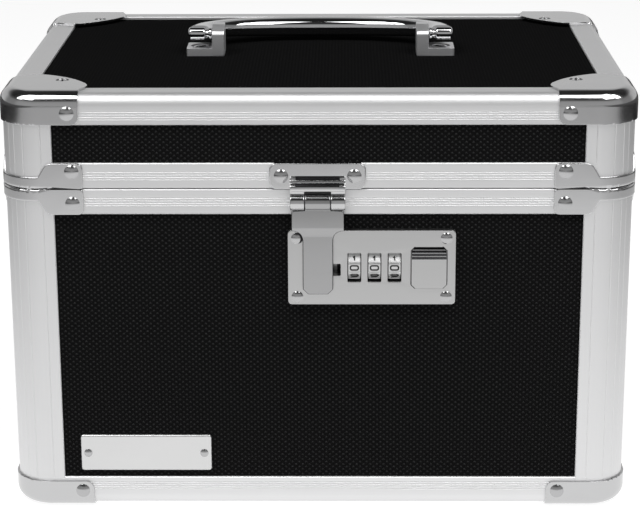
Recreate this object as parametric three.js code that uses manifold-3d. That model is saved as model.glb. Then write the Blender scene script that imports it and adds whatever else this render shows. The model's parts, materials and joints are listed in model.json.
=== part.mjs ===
// Portable lock box: laminate panels held in grooved aluminium extrusions, chromed corner caps, a two-leaf
// hasp with a three-dial push-button lock on the front, stop hinges behind and a folding bail on the lid.
// Millimetres. +Z is up, the front faces -Y, and the origin is under the middle of the box on the ground.
import * as THREE from "three";
import { mergeVertices } from "three/addons/utils/BufferGeometryUtils.js";
import Module from "manifold-3d";

// Case
const case_width = 254;
const case_depth = 184;
const corner_radius = 15;
const seam_height = 137.3;
const lid_height = 39.4;
const seam_gap = 0.3;
const running_gap = 0.3;
const overrun = 2;
const weld_distance = 0.001;

// Extrusions
const extrusion_wall = 1.2;
const flange = 12.5;
const edge_radius = 3.5;
const rim_height = 10.4;
const rim_web = 1.5;
const inner_leg_height = 8;
const tongue_height = 2.5;
const post_leg = 21;
const groove_count = 4;
const groove_pitch = 1;
const groove_width = 0.5;
const groove_depth = 0.3;
const post_groove_in = 16.5;
const post_groove_shares = [0.25, 0.43, 0.57, 0.75];

// Panels and lining
const panel_thickness = 4;
const lining_thickness = 1.5;

// Corner caps
const cap_thickness = 1;
const cap_leg = 32;
const cap_drop = 13.3;
const cap_corner_radius = 3.5;
const lobe_reach = 37.2;
const bottom_cap_leg = 33;
const bottom_cap_rise = 11.7;
const rim_cap_leg = 33;
const rim_cap_chamfer = 1.6;
const rim_cap_band = 4.8;
const rim_cap_full_from = 17.8;
const rim_cap_band_from = 15.2;

// Rivets
const rivet_radius = 2.9;
const rivet_height_share = 0.41;
const top_rivet_in = 27.5;
const top_rivet_drop = 8.6;
const rim_rivet_in = 28.6;
const lid_rim_rivet_rise = 7.1;
const base_rim_rivet_drop = 5.7;
const bottom_rivet_in = 28.4;
const bottom_rivet_rise = 7.7;
const lobe_screw_in = 23.2;
const lobe_screw_radius = 2.7;
const lobe_screw_dish = 0.25;
const cross_length = 3;
const cross_width = 0.9;
const cross_depth = 0.5;

// Lock
const lock_width = 67.4;
const lock_height = 31;
const lock_drop = 32.2;
const slot_margin_share = 0.139;
const slot_width_share = 0.175;
const slot_gap_share = 0.046;
const dial_gap_share = 0.065;
const lock_plate_thickness = 3;
const lock_corner_radius = 2.5;
const lock_rivet_inset = 3.5;
const lock_rivet_radius = 2.4;
const housing_side_inset = 3;
const housing_depth = 11.8;
const housing_skin = 1;

// Dials
const dial_count = 3;
const dial_pitch_share = 0.12;
const dial_width_share = 0.0725;
const dial_radius = 6.3;
const dial_notch_depth = 0.6;
const dial_proud = 0.6;
const dial_window_height = 12.2;
const dial_axle_radius = 1.1;
const digits_per_dial = 10;
const notch_share = 0.12;

// Push button
const button_width_share = 0.209;
const button_height = 16.9;
const button_chamfer = 1.6;
const button_proud = 1.5;
const button_flange_lip = 0.8;
const button_flange_thickness = 2;
const button_scoop = 4.7;
const button_travel = 2.5;
const wedge_height = 6;

// Bolt and catch slot
const bolt_thickness = 2;
const bolt_bar_height = 3.2;
const bolt_bar_drop = 9.2;
const bolt_arm_gap = 0.5;
const bolt_nose_height = 2.2;
const bolt_nose_reach = 1.1;
const bolt_end_share = 0.213;
const bolt_catch_gap = 0.4;
const bolt_wall = 1.2;
const catch_slot_height = 4.9;
const catch_slot_drop = 33.1;
const catch_slot_from_hasp = 2.7;

// Hasp
const hasp_centre_x = -0.3;
const hasp_plate_width = 38.4;
const hasp_plate_height = 10.7;
const hasp_plate_thickness = 1.5;
const hasp_plate_chamfer = 2;
const hasp_rivet_spacing = 29.2;
const hasp_rivet_rise = 5.4;
const hasp_barrel_width = 22;
const hasp_barrel_radius = 3.7;
const hasp_barrel_drop = 4.1;
const hasp_web_share = 0.9;
const hasp_knuckle_width = 10;
const hasp_pin_radius = 1.4;
const hasp_pin_head = 0.8;
const leaf_thickness = 1.8;
const leaf_wide = 21;
const leaf_narrow = 12.2;
const leaf_shoulder_drop = 16.3;
const leaf_shoulder_radius = 4;
const leaf_foot_drop = 42.8;
const leaf_chamfer = 2.1;
const staple_width_share = 0.49;
const staple_height = 2.8;
const staple_depth = 11.7;
const staple_side_gap = 0.7;
const staple_notch_depth = 2;
const staple_notch_length = 3;

// Handle
const handle_reach = 34.5;
const handle_arm_x = 53;
const handle_pivot_height = 9;
const handle_pivot_from_front = 88;
const grip_half_width = 5.5;
const grip_half_thickness = 5;
const arm_half_width = 4.4;
const arm_half_thickness = 4.2;
const handle_barrel_radius = 4.6;
const handle_barrel_width = 10.4;
const handle_pin_radius = 2;
const bracket_width = 18;
const bracket_depth = 18;
const bracket_foot = 3.3;
const bracket_post_width = 6;
const bracket_post_height = 13;
const bracket_post_depth = 13;
const bracket_post_radius = 2;
const arm_control_share = 0.7;
const crown_control_share = 0.64;

// Hinges
const hinge_cap_gap = 9;
const hinge_width = 30;
const hinge_plate_thickness = 1.5;
const hinge_plate_height = 10;
const hinge_barrel_radius = 2.7;
const hinge_centre_knuckle = 12;
const hinge_pin_radius = 1.1;
const hinge_stop_reach = 5;
const hinge_stop_thickness = 1.5;
const hinge_rivet_spacing = 18;
const hinge_rivet_radius = 2;
const hinge_chamfer = 1.5;

// Nameplate
const nameplate_width = 54.4;
const nameplate_height = 15.8;
const nameplate_thickness = 1;
const nameplate_corner = 1.2;
const nameplate_post_gap = 6.9;
const nameplate_rise = 24.1;
const nameplate_pin_radius = 1.75;
const nameplate_pin_in = 3.1;

// Facets
const corner_steps = 5;
const round_sides = 8;
const dome_sides = 10;
const dome_rings = 2;
const edge_steps = 3;
const grip_steps = 22;
const grip_sides = 10;

// Places that follow from the sizes above
const half_width = case_width / 2;
const half_depth = case_depth / 2;
const case_height = seam_height + seam_gap + lid_height;
const frame_bottom = cap_thickness;
const frame_top = case_height - cap_thickness;
const lid_low = seam_height + seam_gap;
const panel_inner = extrusion_wall + panel_thickness;
const leg_inner = panel_inner + extrusion_wall;
const lining_inner = leg_inner + lining_thickness;
const lid_channel = tongue_height + running_gap + extrusion_wall;
const panel_top_z = frame_top - extrusion_wall;
const front_y = -half_depth;
const back_y = half_depth;
const lock_back_y = front_y + extrusion_wall;
const lock_face_y = lock_back_y - lock_plate_thickness;
const dial_axis_y = lock_face_y - dial_proud + dial_radius;
const lock_centre_z = seam_height - lock_drop;
const catch_slot_centre_z = seam_height - catch_slot_drop;
const catch_slot_width = lock_width * slot_width_share;
const catch_slot_x0 = hasp_centre_x - catch_slot_from_hasp;
const lock_left_x = catch_slot_x0 - lock_width * slot_margin_share;
const lock_centre_x = lock_left_x + lock_width / 2;
const dial_width = lock_width * dial_width_share;
const dial_pitch = lock_width * dial_pitch_share;
const first_dial_x = catch_slot_x0 + catch_slot_width + lock_width * slot_gap_share + dial_width / 2;
const last_dial_x = first_dial_x + (dial_count - 1) * dial_pitch;
const button_width = lock_width * button_width_share;
const button_centre_x = last_dial_x + dial_width / 2 + lock_width * dial_gap_share + button_width / 2;
const leaf_shoulder_z = seam_height - leaf_shoulder_drop;
const leaf_foot_z = seam_height - leaf_foot_drop;
const hasp_axis_z = seam_height - hasp_barrel_drop;
const leaf_back_y = lock_face_y - running_gap;
const hasp_axis_y = Math.min(leaf_back_y - leaf_thickness, front_y - hasp_barrel_radius) - running_gap;
const handle_pivot_y = front_y + handle_pivot_from_front;
const handle_pivot_z = panel_top_z + handle_pivot_height;
const grip_rise = grip_half_thickness + running_gap;
const handle_tilt = Math.asin((handle_pivot_height - grip_rise) / handle_reach);
const hinge_axis_y = back_y + hinge_barrel_radius + running_gap;
const hinge_axis_z = seam_height + seam_gap / 2;

// Finishes
const finish = (color, roughness, metalness) =>
  new THREE.MeshStandardMaterial({ color, roughness, metalness, flatShading: true });
const aluminium = finish(0xd9dadb, 0.42, 0.9);
const chrome = finish(0xc4c6c8, 0.16, 1);
const polished = finish(0xb9bcbf, 0.08, 1);
const satin_nickel = finish(0xb2b2b0, 0.3, 1);
const laminate = finish(0x17171a, 0.6, 0);
const felt = finish(0x202022, 0.95, 0);
const dark_steel = finish(0x6d6f72, 0.4, 0.9);

const wasm = await Module();
wasm.setup();

// Solids: a closed geometry becomes a solid that can be joined and cut.
function solidOf(geometry) {
  const bare = geometry.index ? geometry.toNonIndexed() : geometry.clone();
  bare.deleteAttribute("normal");
  bare.deleteAttribute("uv");
  const welded = mergeVertices(bare, weld_distance);
  const vertProperties = new Float32Array(welded.attributes.position.array);
  const triVerts = new Uint32Array(welded.index.array);
  const made = new wasm.Manifold(new wasm.Mesh({ numProp: 3, vertProperties, triVerts }));
  if (made.volume() > 0) return made;
  for (let i = 0; i < triVerts.length; i += 3) {
    [triVerts[i + 1], triVerts[i + 2]] = [triVerts[i + 2], triVerts[i + 1]];
  }
  return new wasm.Manifold(new wasm.Mesh({ numProp: 3, vertProperties, triVerts }));
}

const joined = (...solids) => solids.reduce((whole, next) => whole.add(next));
const cut = (whole, ...tools) => tools.reduce((rest, tool) => rest.subtract(tool), whole);

function geometryOf(solid) {
  const { vertProperties, triVerts } = solid.getMesh();
  const geometry = new THREE.BufferGeometry();
  geometry.setAttribute("position", new THREE.BufferAttribute(new Float32Array(vertProperties), 3));
  geometry.setIndex(new THREE.BufferAttribute(new Uint32Array(triVerts), 1));
  geometry.computeVertexNormals();
  return geometry;
}

function addPiece(group, name, solid, material) {
  const mesh = new THREE.Mesh(geometryOf(solid), material);
  mesh.name = name;
  group.add(mesh);
  return mesh;
}

// The same solid at the four corners, mirrored about the middle of the case.
function addAtCorners(group, stem, solid, material) {
  const geometry = geometryOf(solid);
  for (const [end, along] of [["front", -1], ["back", 1]]) {
    for (const [side, across] of [["left", -1], ["right", 1]]) {
      const mesh = new THREE.Mesh(geometry, material);
      mesh.name = `${stem}_${end}_${side}`;
      mesh.scale.set(across, along, 1);
      group.add(mesh);
    }
  }
}

// Outlines
const outline = (points) => new THREE.Shape(points.map(([a, b]) => new THREE.Vector2(a, b)));

const rectangle = (a0, a1, b0, b1) => outline([[a0, b0], [a1, b0], [a1, b1], [a0, b1]]);

// Points of an arc from one angle to another, both ends included.
function arcPoints(centre_a, centre_b, radius, from, to, steps = corner_steps) {
  const points = [];
  for (let i = 0; i <= steps; i++) {
    const angle = from + ((to - from) * i) / steps;
    points.push([centre_a + radius * Math.cos(angle), centre_b + radius * Math.sin(angle)]);
  }
  return points;
}

function roundedRectangle(centre_a, centre_b, width, height, radius) {
  const a = width / 2 - radius;
  const b = height / 2 - radius;
  const quarter = Math.PI / 2;
  return outline([
    ...arcPoints(centre_a + a, centre_b + b, radius, 0, quarter),
    ...arcPoints(centre_a - a, centre_b + b, radius, quarter, 2 * quarter),
    ...arcPoints(centre_a - a, centre_b - b, radius, 2 * quarter, 3 * quarter),
    ...arcPoints(centre_a + a, centre_b - b, radius, 3 * quarter, 4 * quarter),
  ]);
}

function chamferedRectangle(centre_a, centre_b, width, height, chamfer) {
  const a = width / 2;
  const b = height / 2;
  const corners = [[a - chamfer, -b], [a, chamfer - b], [a, b - chamfer], [a - chamfer, b]];
  const others = corners.map(([x, y]) => [-x, -y]);
  return outline([...corners, ...others].map(([x, y]) => [centre_a + x, centre_b + y]));
}

// Prisms: an outline in plan raised along Z, one seen from the front run along Y, one seen from the side
// run along X.
const prism = (shape, length) =>
  new THREE.ExtrudeGeometry(shape, { depth: length, bevelEnabled: false, curveSegments: corner_steps });

const upright = (shape, z0, z1) => solidOf(prism(shape, z1 - z0).translate(0, 0, z0));

const facing = (shape, y0, y1) => solidOf(prism(shape, y1 - y0).rotateX(Math.PI / 2).translate(0, y1, 0));

function across(shape, x0, x1) {
  const turn = new THREE.Matrix4().makeBasis(
    new THREE.Vector3(0, 1, 0),
    new THREE.Vector3(0, 0, 1),
    new THREE.Vector3(1, 0, 0),
  );
  return solidOf(prism(shape, x1 - x0).applyMatrix4(turn).translate(x0, 0, 0));
}

const block = (x0, x1, y0, y1, z0, z1) => upright(rectangle(x0, x1, y0, y1), z0, z1);

function rod(x0, x1, y, z, radius) {
  const geometry = new THREE.CylinderGeometry(radius, radius, x1 - x0, round_sides);
  geometry.rotateZ(Math.PI / 2).rotateX(Math.PI / round_sides);
  return solidOf(geometry.translate((x0 + x1) / 2, y, z));
}

// A rivet head: a low dome whose base is sunk a little into the plate that it holds.
function dome(radius, height, sink) {
  const profile = [[0, -sink], [radius, -sink], [radius, 0]];
  for (let i = 1; i <= dome_rings; i++) {
    const angle = ((i / dome_rings) * Math.PI) / 2;
    profile.push([radius * Math.cos(angle), height * Math.sin(angle)]);
  }
  profile[profile.length - 1][0] = 0;
  return new THREE.LatheGeometry(profile.map(([r, z]) => new THREE.Vector2(r, z)), dome_sides);
}

const rivetHead = (radius) => dome(radius, radius * rivet_height_share, cap_thickness / 2);
const frontRivet = (x, y, z, radius = rivet_radius) =>
  solidOf(rivetHead(radius).rotateX(Math.PI).translate(x, y, z));
const backRivet = (x, y, z, radius = rivet_radius) => solidOf(rivetHead(radius).translate(x, y, z));
const sideRivet = (x, y, z, radius = rivet_radius) =>
  solidOf(rivetHead(radius).rotateZ(-Math.PI / 2).translate(x, y, z));

// The case's plan outline drawn in by an inset, as a ring of points in corner arcs.
function planRing(inset, half_a = half_width, half_b = half_depth, radius = corner_radius) {
  const points = [];
  for (let corner = 0; corner < 4; corner++) {
    const side_a = corner === 0 || corner === 3 ? 1 : -1;
    const side_b = corner < 2 ? 1 : -1;
    for (let i = 0; i <= corner_steps; i++) {
      const angle = ((corner + i / corner_steps) * Math.PI) / 2;
      points.push([
        side_a * (half_a - radius) + (radius - inset) * Math.cos(angle),
        side_b * (half_b - radius) + (radius - inset) * Math.sin(angle),
      ]);
    }
  }
  return points;
}

function ringSurface(rings, closed) {
  const count = rings[0].length;
  const vertices = rings.flat(2);
  const faces = [];
  const last = closed ? rings.length : rings.length - 1;
  for (let i = 0; i < last; i++) {
    const above = (i + 1) % rings.length;
    for (let j = 0; j < count; j++) {
      const k = (j + 1) % count;
      const [a, b, c, d] = [i * count + j, i * count + k, above * count + k, above * count + j];
      faces.push(a, b, c, a, c, d);
    }
  }
  return { vertices, faces, count };
}

function geometryFrom(vertices, faces) {
  const geometry = new THREE.BufferGeometry();
  geometry.setAttribute("position", new THREE.Float32BufferAttribute(vertices, 3));
  geometry.setIndex(faces);
  return geometry;
}

// A frame: one section, given as inset and height, carried round the case's rounded outline.
function frameOf(section) {
  const rings = section.map(([inset, z]) => planRing(inset).map(([x, y]) => [x, y, z]));
  const { vertices, faces } = ringSurface(rings, true);
  return solidOf(geometryFrom(vertices, faces));
}

// A stack of rings closed by a flat fan at each end.
function loft(rings) {
  const { vertices, faces, count } = ringSurface(rings, false);
  for (const end of [0, rings.length - 1]) {
    const centre = [0, 1, 2].map((axis) => rings[end].reduce((sum, p) => sum + p[axis], 0) / count);
    const hub = vertices.length / 3;
    vertices.push(...centre);
    for (let j = 0; j < count; j++) {
      const k = (j + 1) % count;
      const [a, b] = [end * count + j, end * count + k];
      faces.push(...(end === 0 ? [hub, b, a] : [hub, a, b]));
    }
  }
  return solidOf(geometryFrom(vertices, faces));
}

// The outside of the case, grown by an amount, with its edge rounded at one end: towards is 1 at the top
// and -1 at the bottom.
function caseBlock(grown, level, towards) {
  const radius = edge_radius + grown;
  const face = level + towards * grown;
  const rings = [[0, level - towards * (cap_drop + bottom_cap_rise + overrun)]];
  for (let i = 0; i <= edge_steps; i++) {
    const angle = ((i / edge_steps) * Math.PI) / 2;
    rings.push([radius - radius * Math.cos(angle), face - towards * (radius - radius * Math.sin(angle))]);
  }
  const plan = (inset) => planRing(inset, half_width + grown, half_depth + grown, corner_radius + grown);
  return loft(rings.map(([inset, z]) => plan(inset).map(([x, y]) => [x, y, z])));
}

// Grooves along the middle of an extrusion's face, as places along the face and how deep they are.
function groovesBetween(from, to) {
  const middle = (from + to) / 2;
  const step = Math.sign(to - from);
  const points = [];
  for (let i = 0; i < groove_count; i++) {
    const at = middle + step * (i - (groove_count - 1) / 2) * groove_pitch;
    points.push([at - (step * groove_width) / 2, 0], [at, groove_depth], [at + (step * groove_width) / 2, 0]);
  }
  return points;
}

// Angle extrusion along the top or the bottom edge. Heights are measured from its flat outer face.
function edgeSection(level, towards) {
  const points = [[0, flange]];
  points.push(...groovesBetween(flange, edge_radius).map(([along, deep]) => [deep, along]));
  for (let i = 0; i <= edge_steps; i++) {
    const angle = ((i / edge_steps) * Math.PI) / 2;
    points.push([edge_radius * (1 - Math.cos(angle)), edge_radius * (1 - Math.sin(angle))]);
  }
  points.push([flange, 0], [flange, extrusion_wall], [edge_radius, extrusion_wall]);
  points.push([extrusion_wall, edge_radius], [extrusion_wall, flange]);
  return points.map(([inset, height]) => [inset, level - towards * height]);
}

// Rim extrusions: each grips its panels in a channel; the base's inner leg rises as a tongue that enters
// the step under the lid's.
function lidRimSection() {
  const face = groovesBetween(rim_height, 0).map(([along, deep]) => [deep, along]);
  const points = [
    [0, rim_height], ...face, [0, 0], [panel_inner - running_gap, 0],
    [panel_inner - running_gap, tongue_height + running_gap - seam_gap],
    [leg_inner, tongue_height + running_gap - seam_gap],
    [leg_inner, inner_leg_height], [panel_inner, inner_leg_height], [panel_inner, lid_channel],
    [extrusion_wall, lid_channel], [extrusion_wall, rim_height],
  ];
  return points.map(([inset, height]) => [inset, lid_low + height]);
}

function baseRimSection() {
  const face = groovesBetween(rim_height, 0).map(([along, deep]) => [deep, along]);
  const points = [
    [0, rim_height], ...face, [0, 0], [panel_inner, 0], [panel_inner, -tongue_height],
    [leg_inner, -tongue_height], [leg_inner, inner_leg_height], [panel_inner, inner_leg_height],
    [panel_inner, rim_web], [extrusion_wall, rim_web], [extrusion_wall, rim_height],
  ];
  return points.map(([inset, height]) => [inset, seam_height - height]);
}

// The rounded skin of a corner post, with fine grooves along it.
function groovedSkin() {
  const spread = groove_width / (corner_radius * Math.PI);
  const turns = Array.from({ length: corner_steps + 1 }, (_, i) => [i / corner_steps, 0]);
  for (const share of post_groove_shares) {
    turns.push([share - spread, 0], [share, groove_depth], [share + spread, 0]);
  }
  turns.sort((a, b) => b[0] - a[0]);
  return turns.map(([share, deep]) => {
    const angle = (share * Math.PI) / 2;
    return [
      half_width - corner_radius + (corner_radius - deep) * Math.cos(angle),
      half_depth - corner_radius + (corner_radius - deep) * Math.sin(angle),
    ];
  });
}

// Corner post: a rounded skin and an inner angle joined by a hollow core, with a slot for each panel.
function cornerPost(z0, z1) {
  const arc = (radius, from, to) =>
    arcPoints(half_width - corner_radius, half_depth - corner_radius, radius, from, to);
  const x = (inset) => half_width - inset;
  const y = (inset) => half_depth - inset;
  const side_groove = [
    [post_groove_in + groove_width / 2, 0], [post_groove_in, groove_depth],
    [post_groove_in - groove_width / 2, 0],
  ];
  const shape = outline([
    [x(post_leg), y(0)], ...side_groove.map(([along, deep]) => [x(along), y(deep)]),
    ...groovedSkin(),
    ...side_groove.toReversed().map(([along, deep]) => [x(deep), y(along)]),
    [x(0), y(post_leg)], [x(extrusion_wall), y(post_leg)], [x(extrusion_wall), y(corner_radius)],
    [x(panel_inner), y(corner_radius)], [x(panel_inner), y(post_leg)], [x(leg_inner), y(post_leg)],
    ...arc(corner_radius - leg_inner, 0, Math.PI / 2),
    [x(post_leg), y(leg_inner)], [x(post_leg), y(panel_inner)], [x(corner_radius), y(panel_inner)],
    [x(corner_radius), y(extrusion_wall)], [x(post_leg), y(extrusion_wall)],
  ]);
  const turn = extrusion_wall / corner_radius;
  const core = new THREE.Path();
  const outer = arc(corner_radius - extrusion_wall, turn, Math.PI / 2 - turn);
  const inner = arc(corner_radius - panel_inner, Math.PI / 2 - turn, turn);
  core.setFromPoints([...outer, ...inner].map(([a, b]) => new THREE.Vector2(a, b)));
  shape.holes.push(core);
  return upright(shape, z0, z1);
}

// Corner caps, drawn for the corner at +X +Y.
function lobePrism(z0, z1) {
  const start = Math.asin(flange / lobe_reach);
  const points = [[-overrun, -overrun], [cap_leg, -overrun], [cap_leg, 0]];
  for (let i = 0; i <= corner_steps; i++) {
    const angle = start + ((Math.PI / 2 - 2 * start) * i) / corner_steps;
    points.push([lobe_reach * Math.cos(angle), lobe_reach * Math.sin(angle)]);
  }
  points.push([0, cap_leg], [-overrun, cap_leg]);
  return upright(outline(points.map(([a, b]) => [half_width - a, half_depth - b])), z0, z1);
}

// Both legs of a cap from one outline of distances from the corner and heights.
function legPrisms(points) {
  const front = points.map(([along, z]) => [half_width - along, z]);
  const side = points.map(([along, z]) => [half_depth - along, z]);
  return joined(
    facing(outline(front), half_depth - corner_radius, half_depth + overrun),
    across(outline(side), half_width - corner_radius, half_width + overrun),
  );
}

function roundedLeg(length, low, high, foot, towards) {
  const points = [[-overrun, high], [-overrun, low], [length - foot, low]];
  const centre = low + towards * foot;
  for (let i = 1; i <= edge_steps; i++) {
    const angle = ((i / edge_steps) * Math.PI) / 2;
    points.push([length - foot + foot * Math.sin(angle), centre - towards * foot * Math.cos(angle)]);
  }
  points.push([length, high]);
  return points;
}

function edgeCap(level, towards, leg, drop, rivet_in, rivet_drop) {
  const shell = cut(caseBlock(cap_thickness, level, towards), caseBlock(0, level, towards));
  const outer = level + towards * cap_thickness;
  const low = outer - towards * drop;
  const high = outer + towards * overrun;
  const legs = legPrisms(roundedLeg(leg, low, high, cap_corner_radius, towards));
  const bend = level - towards * edge_radius;
  const lobe = lobePrism(Math.min(bend, high), Math.max(bend, high));
  const rivet_z = outer - towards * rivet_drop;
  return joined(
    shell.intersect(joined(legs, lobe)),
    backRivet(half_width - rivet_in, half_depth + cap_thickness, rivet_z),
    sideRivet(half_width + cap_thickness, half_depth - rivet_in, rivet_z),
  );
}

// What a countersunk cross-head screw leaves to see in a top cap's lobe: its dished head and the cross.
function lobeScrew(face) {
  const x = half_width - lobe_screw_in;
  const y = half_depth - lobe_screw_in;
  const head = new THREE.CylinderGeometry(
    lobe_screw_radius + lobe_screw_dish, lobe_screw_radius - lobe_screw_dish,
    2 * lobe_screw_dish, round_sides,
  );
  const low = face - lobe_screw_dish - cross_depth;
  const bars = [[cross_length / 2, cross_width / 2], [cross_width / 2, cross_length / 2]].map(([a, b]) =>
    block(x - a, x + a, y - b, y + b, low, face + overrun),
  );
  return joined(solidOf(head.rotateX(Math.PI / 2).translate(x, y, face)), ...bars);
}

function rimCap(level, towards, rivet_height_on_rim) {
  const height = (up) => level + towards * up;
  const outer = roundedRectangle(
    0, 0, case_width + 2 * cap_thickness, case_depth + 2 * cap_thickness, corner_radius + cap_thickness,
  );
  const inner = roundedRectangle(0, 0, case_width, case_depth, corner_radius);
  const z0 = Math.min(level, height(rim_height));
  const z1 = Math.max(level, height(rim_height));
  const shell = cut(upright(outer, z0, z1), upright(inner, z0 - overrun, z1 + overrun));
  const legs = legPrisms([
    [-overrun, height(0)], [rim_cap_leg - rim_cap_chamfer, height(0)], [rim_cap_leg, height(rim_cap_chamfer)],
    [rim_cap_leg, height(rim_height - rim_cap_chamfer)], [rim_cap_leg - rim_cap_chamfer, height(rim_height)],
    [rim_cap_full_from, height(rim_height)], [rim_cap_band_from, height(rim_cap_band)],
    [-overrun, height(rim_cap_band)],
  ]);
  return joined(
    shell.intersect(legs),
    backRivet(half_width - rim_rivet_in, half_depth + cap_thickness, height(rivet_height_on_rim)),
    sideRivet(half_width + cap_thickness, half_depth - rim_rivet_in, height(rivet_height_on_rim)),
  );
}

// Panels
const frontPanel = (z0, z1) =>
  block(corner_radius - half_width, half_width - corner_radius,
    front_y + extrusion_wall, front_y + panel_inner, z0, z1);
const sidePanel = (z0, z1) =>
  block(half_width - panel_inner, half_width - extrusion_wall,
    corner_radius - half_depth, half_depth - corner_radius, z0, z1);
const flatPanel = (z0, z1) =>
  upright(
    roundedRectangle(
      0, 0, case_width - 2 * panel_inner, case_depth - 2 * panel_inner, corner_radius - panel_inner,
    ),
    z0, z1,
  );

// A lining tray with the wall standing from closed to open.
function lining(closed_z, open_z) {
  const towards = Math.sign(open_z - closed_z);
  const tray = (inset, a, b) =>
    upright(
      roundedRectangle(0, 0, case_width - 2 * inset, case_depth - 2 * inset, corner_radius - inset),
      Math.min(a, b), Math.max(a, b),
    );
  const hollow = tray(lining_inner, closed_z + towards * lining_thickness, open_z + towards * overrun);
  return cut(tray(leg_inner, closed_z, open_z), hollow);
}

function addPanels(group, stem, z0, z1, cut_out) {
  const front = frontPanel(z0, z1);
  addPiece(group, `${stem}_front_panel`, cut_out ? cut(front, cut_out) : front, laminate);
  const back = addPiece(group, `${stem}_back_panel`, frontPanel(z0, z1), laminate);
  back.scale.y = -1;
  const left = addPiece(group, `${stem}_left_panel`, sidePanel(z0, z1), laminate);
  left.scale.x = -1;
  addPiece(group, `${stem}_right_panel`, sidePanel(z0, z1), laminate);
}

// Lock
const lock_z0 = lock_centre_z - lock_height / 2 + housing_side_inset;
const lock_z1 = lock_centre_z + lock_height / 2 - housing_side_inset;
const lock_x0 = lock_centre_x - lock_width / 2 + housing_side_inset;
const lock_x1 = lock_centre_x + lock_width / 2 - housing_skin;
const housing_back_y = lock_back_y + housing_depth;
const pocket_back_y = housing_back_y - housing_skin;
const dial_xs = Array.from({ length: dial_count }, (_, i) => first_dial_x + i * dial_pitch);
const staple_x0 = catch_slot_x0 + staple_side_gap;
const staple_x1 = staple_x0 + catch_slot_width * staple_width_share;
const staple_tip_y = leaf_back_y + staple_depth;
const staple_radius = Math.hypot(
  hasp_axis_z - catch_slot_centre_z, (lock_face_y + lock_back_y) / 2 - hasp_axis_y,
);
const bolt_y1 = staple_tip_y - running_gap - bolt_thickness / 2;
const bolt_y0 = bolt_y1 - bolt_thickness;
const swingLevel = (y, radius) => hasp_axis_z - Math.sqrt(radius ** 2 - (y - hasp_axis_y) ** 2);
const bolt_nose_z = swingLevel((bolt_y0 + bolt_y1) / 2, staple_radius);
const staple_crest_z = swingLevel(staple_tip_y, staple_radius - staple_height / 2);
const bolt_z0 = lock_centre_z - bolt_bar_drop - bolt_bar_height / 2;
const bolt_z1 = bolt_z0 + bolt_bar_height;
const bolt_tip_x = staple_x1 + bolt_catch_gap;
const bolt_arm_x0 = bolt_tip_x + bolt_nose_reach;
const bolt_arm_end = dial_xs[0] - dial_width / 2 - running_gap - bolt_wall;
const bolt_arm_x1 = bolt_arm_end - button_travel - bolt_arm_gap;
const bolt_end_width = button_width * bolt_end_share;
const wedge_low_z = lock_centre_z - wedge_height / 2;
const wedge_high_z = wedge_low_z + wedge_height;
const button_back_y = lock_back_y + running_gap + button_flange_thickness;
const wedge_tip_x = button_centre_x;
const ramp_x = wedge_tip_x + 2 * running_gap;
const bolt_end_x = ramp_x + bolt_thickness + bolt_end_width;

const lockWindow = (x) =>
  rectangle(
    x - dial_width / 2 - running_gap, x + dial_width / 2 + running_gap,
    lock_centre_z - dial_window_height / 2, lock_centre_z + dial_window_height / 2,
  );

function lockPlate() {
  const plate = facing(
    roundedRectangle(lock_centre_x, lock_centre_z, lock_width, lock_height, lock_corner_radius),
    lock_face_y, lock_back_y,
  );
  const through = (shape) => facing(shape, lock_face_y - overrun, lock_back_y + overrun);
  const button = chamferedRectangle(
    button_centre_x, lock_centre_z,
    button_width + 2 * running_gap, button_height + 2 * running_gap, button_chamfer,
  );
  const slot = rectangle(
    catch_slot_x0, catch_slot_x0 + catch_slot_width,
    catch_slot_centre_z - catch_slot_height / 2, catch_slot_centre_z + catch_slot_height / 2,
  );
  const rivet_x = lock_width / 2 - lock_rivet_inset;
  const rivet_z = lock_height / 2 - lock_rivet_inset;
  const rivets = [-1, 1].flatMap((a) =>
    [-1, 1].map((b) =>
      frontRivet(lock_centre_x + a * rivet_x, lock_face_y, lock_centre_z + b * rivet_z, lock_rivet_radius)),
  );
  const windows = dial_xs.map((x) => through(lockWindow(x)));
  return joined(cut(plate, through(button), through(slot), ...windows), ...rivets);
}

// Housing behind the plate: a pocket for each dial, one for the staple, one for the button, and a
// channel for the bolt that joins the last two. The dials' axle is staked in its walls.
function lockHousing() {
  const body = block(lock_x0, lock_x1, lock_back_y, housing_back_y, lock_z0, lock_z1);
  const mouth = lock_back_y - overrun;
  const dial_reach = dial_radius + running_gap;
  const dials = dial_xs.map((x) =>
    block(
      x - dial_width / 2 - running_gap, x + dial_width / 2 + running_gap, mouth, dial_axis_y + dial_reach,
      lock_centre_z - dial_reach, lock_centre_z + dial_reach,
    ),
  );
  const staple = block(
    staple_x0 - running_gap, bolt_arm_end, mouth, pocket_back_y,
    catch_slot_centre_z - catch_slot_height / 2 - running_gap,
    Math.max(catch_slot_centre_z + catch_slot_height / 2, staple_crest_z) + running_gap,
  );
  const button_a = button_width / 2 + button_flange_lip + running_gap;
  const button_b = button_height / 2 + button_flange_lip + running_gap;
  const button = block(
    button_centre_x - button_a, button_centre_x + button_a, mouth, pocket_back_y,
    lock_centre_z - button_b, lock_centre_z + button_b,
  );
  const bolt_run = [bolt_y0 - running_gap, bolt_y1 + running_gap, bolt_z0 - running_gap];
  const channel = block(
    staple_x1, bolt_end_x + button_travel + running_gap, ...bolt_run, bolt_z1 + running_gap,
  );
  const arm = block(staple_x1, bolt_arm_end, ...bolt_run, catch_slot_centre_z);
  const axle = rod(
    dial_xs[0] - dial_width, dial_xs[dial_count - 1] + dial_width,
    dial_axis_y, lock_centre_z, dial_axle_radius,
  );
  return joined(cut(body, ...dials, staple, button, channel, arm), axle);
}

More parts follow.
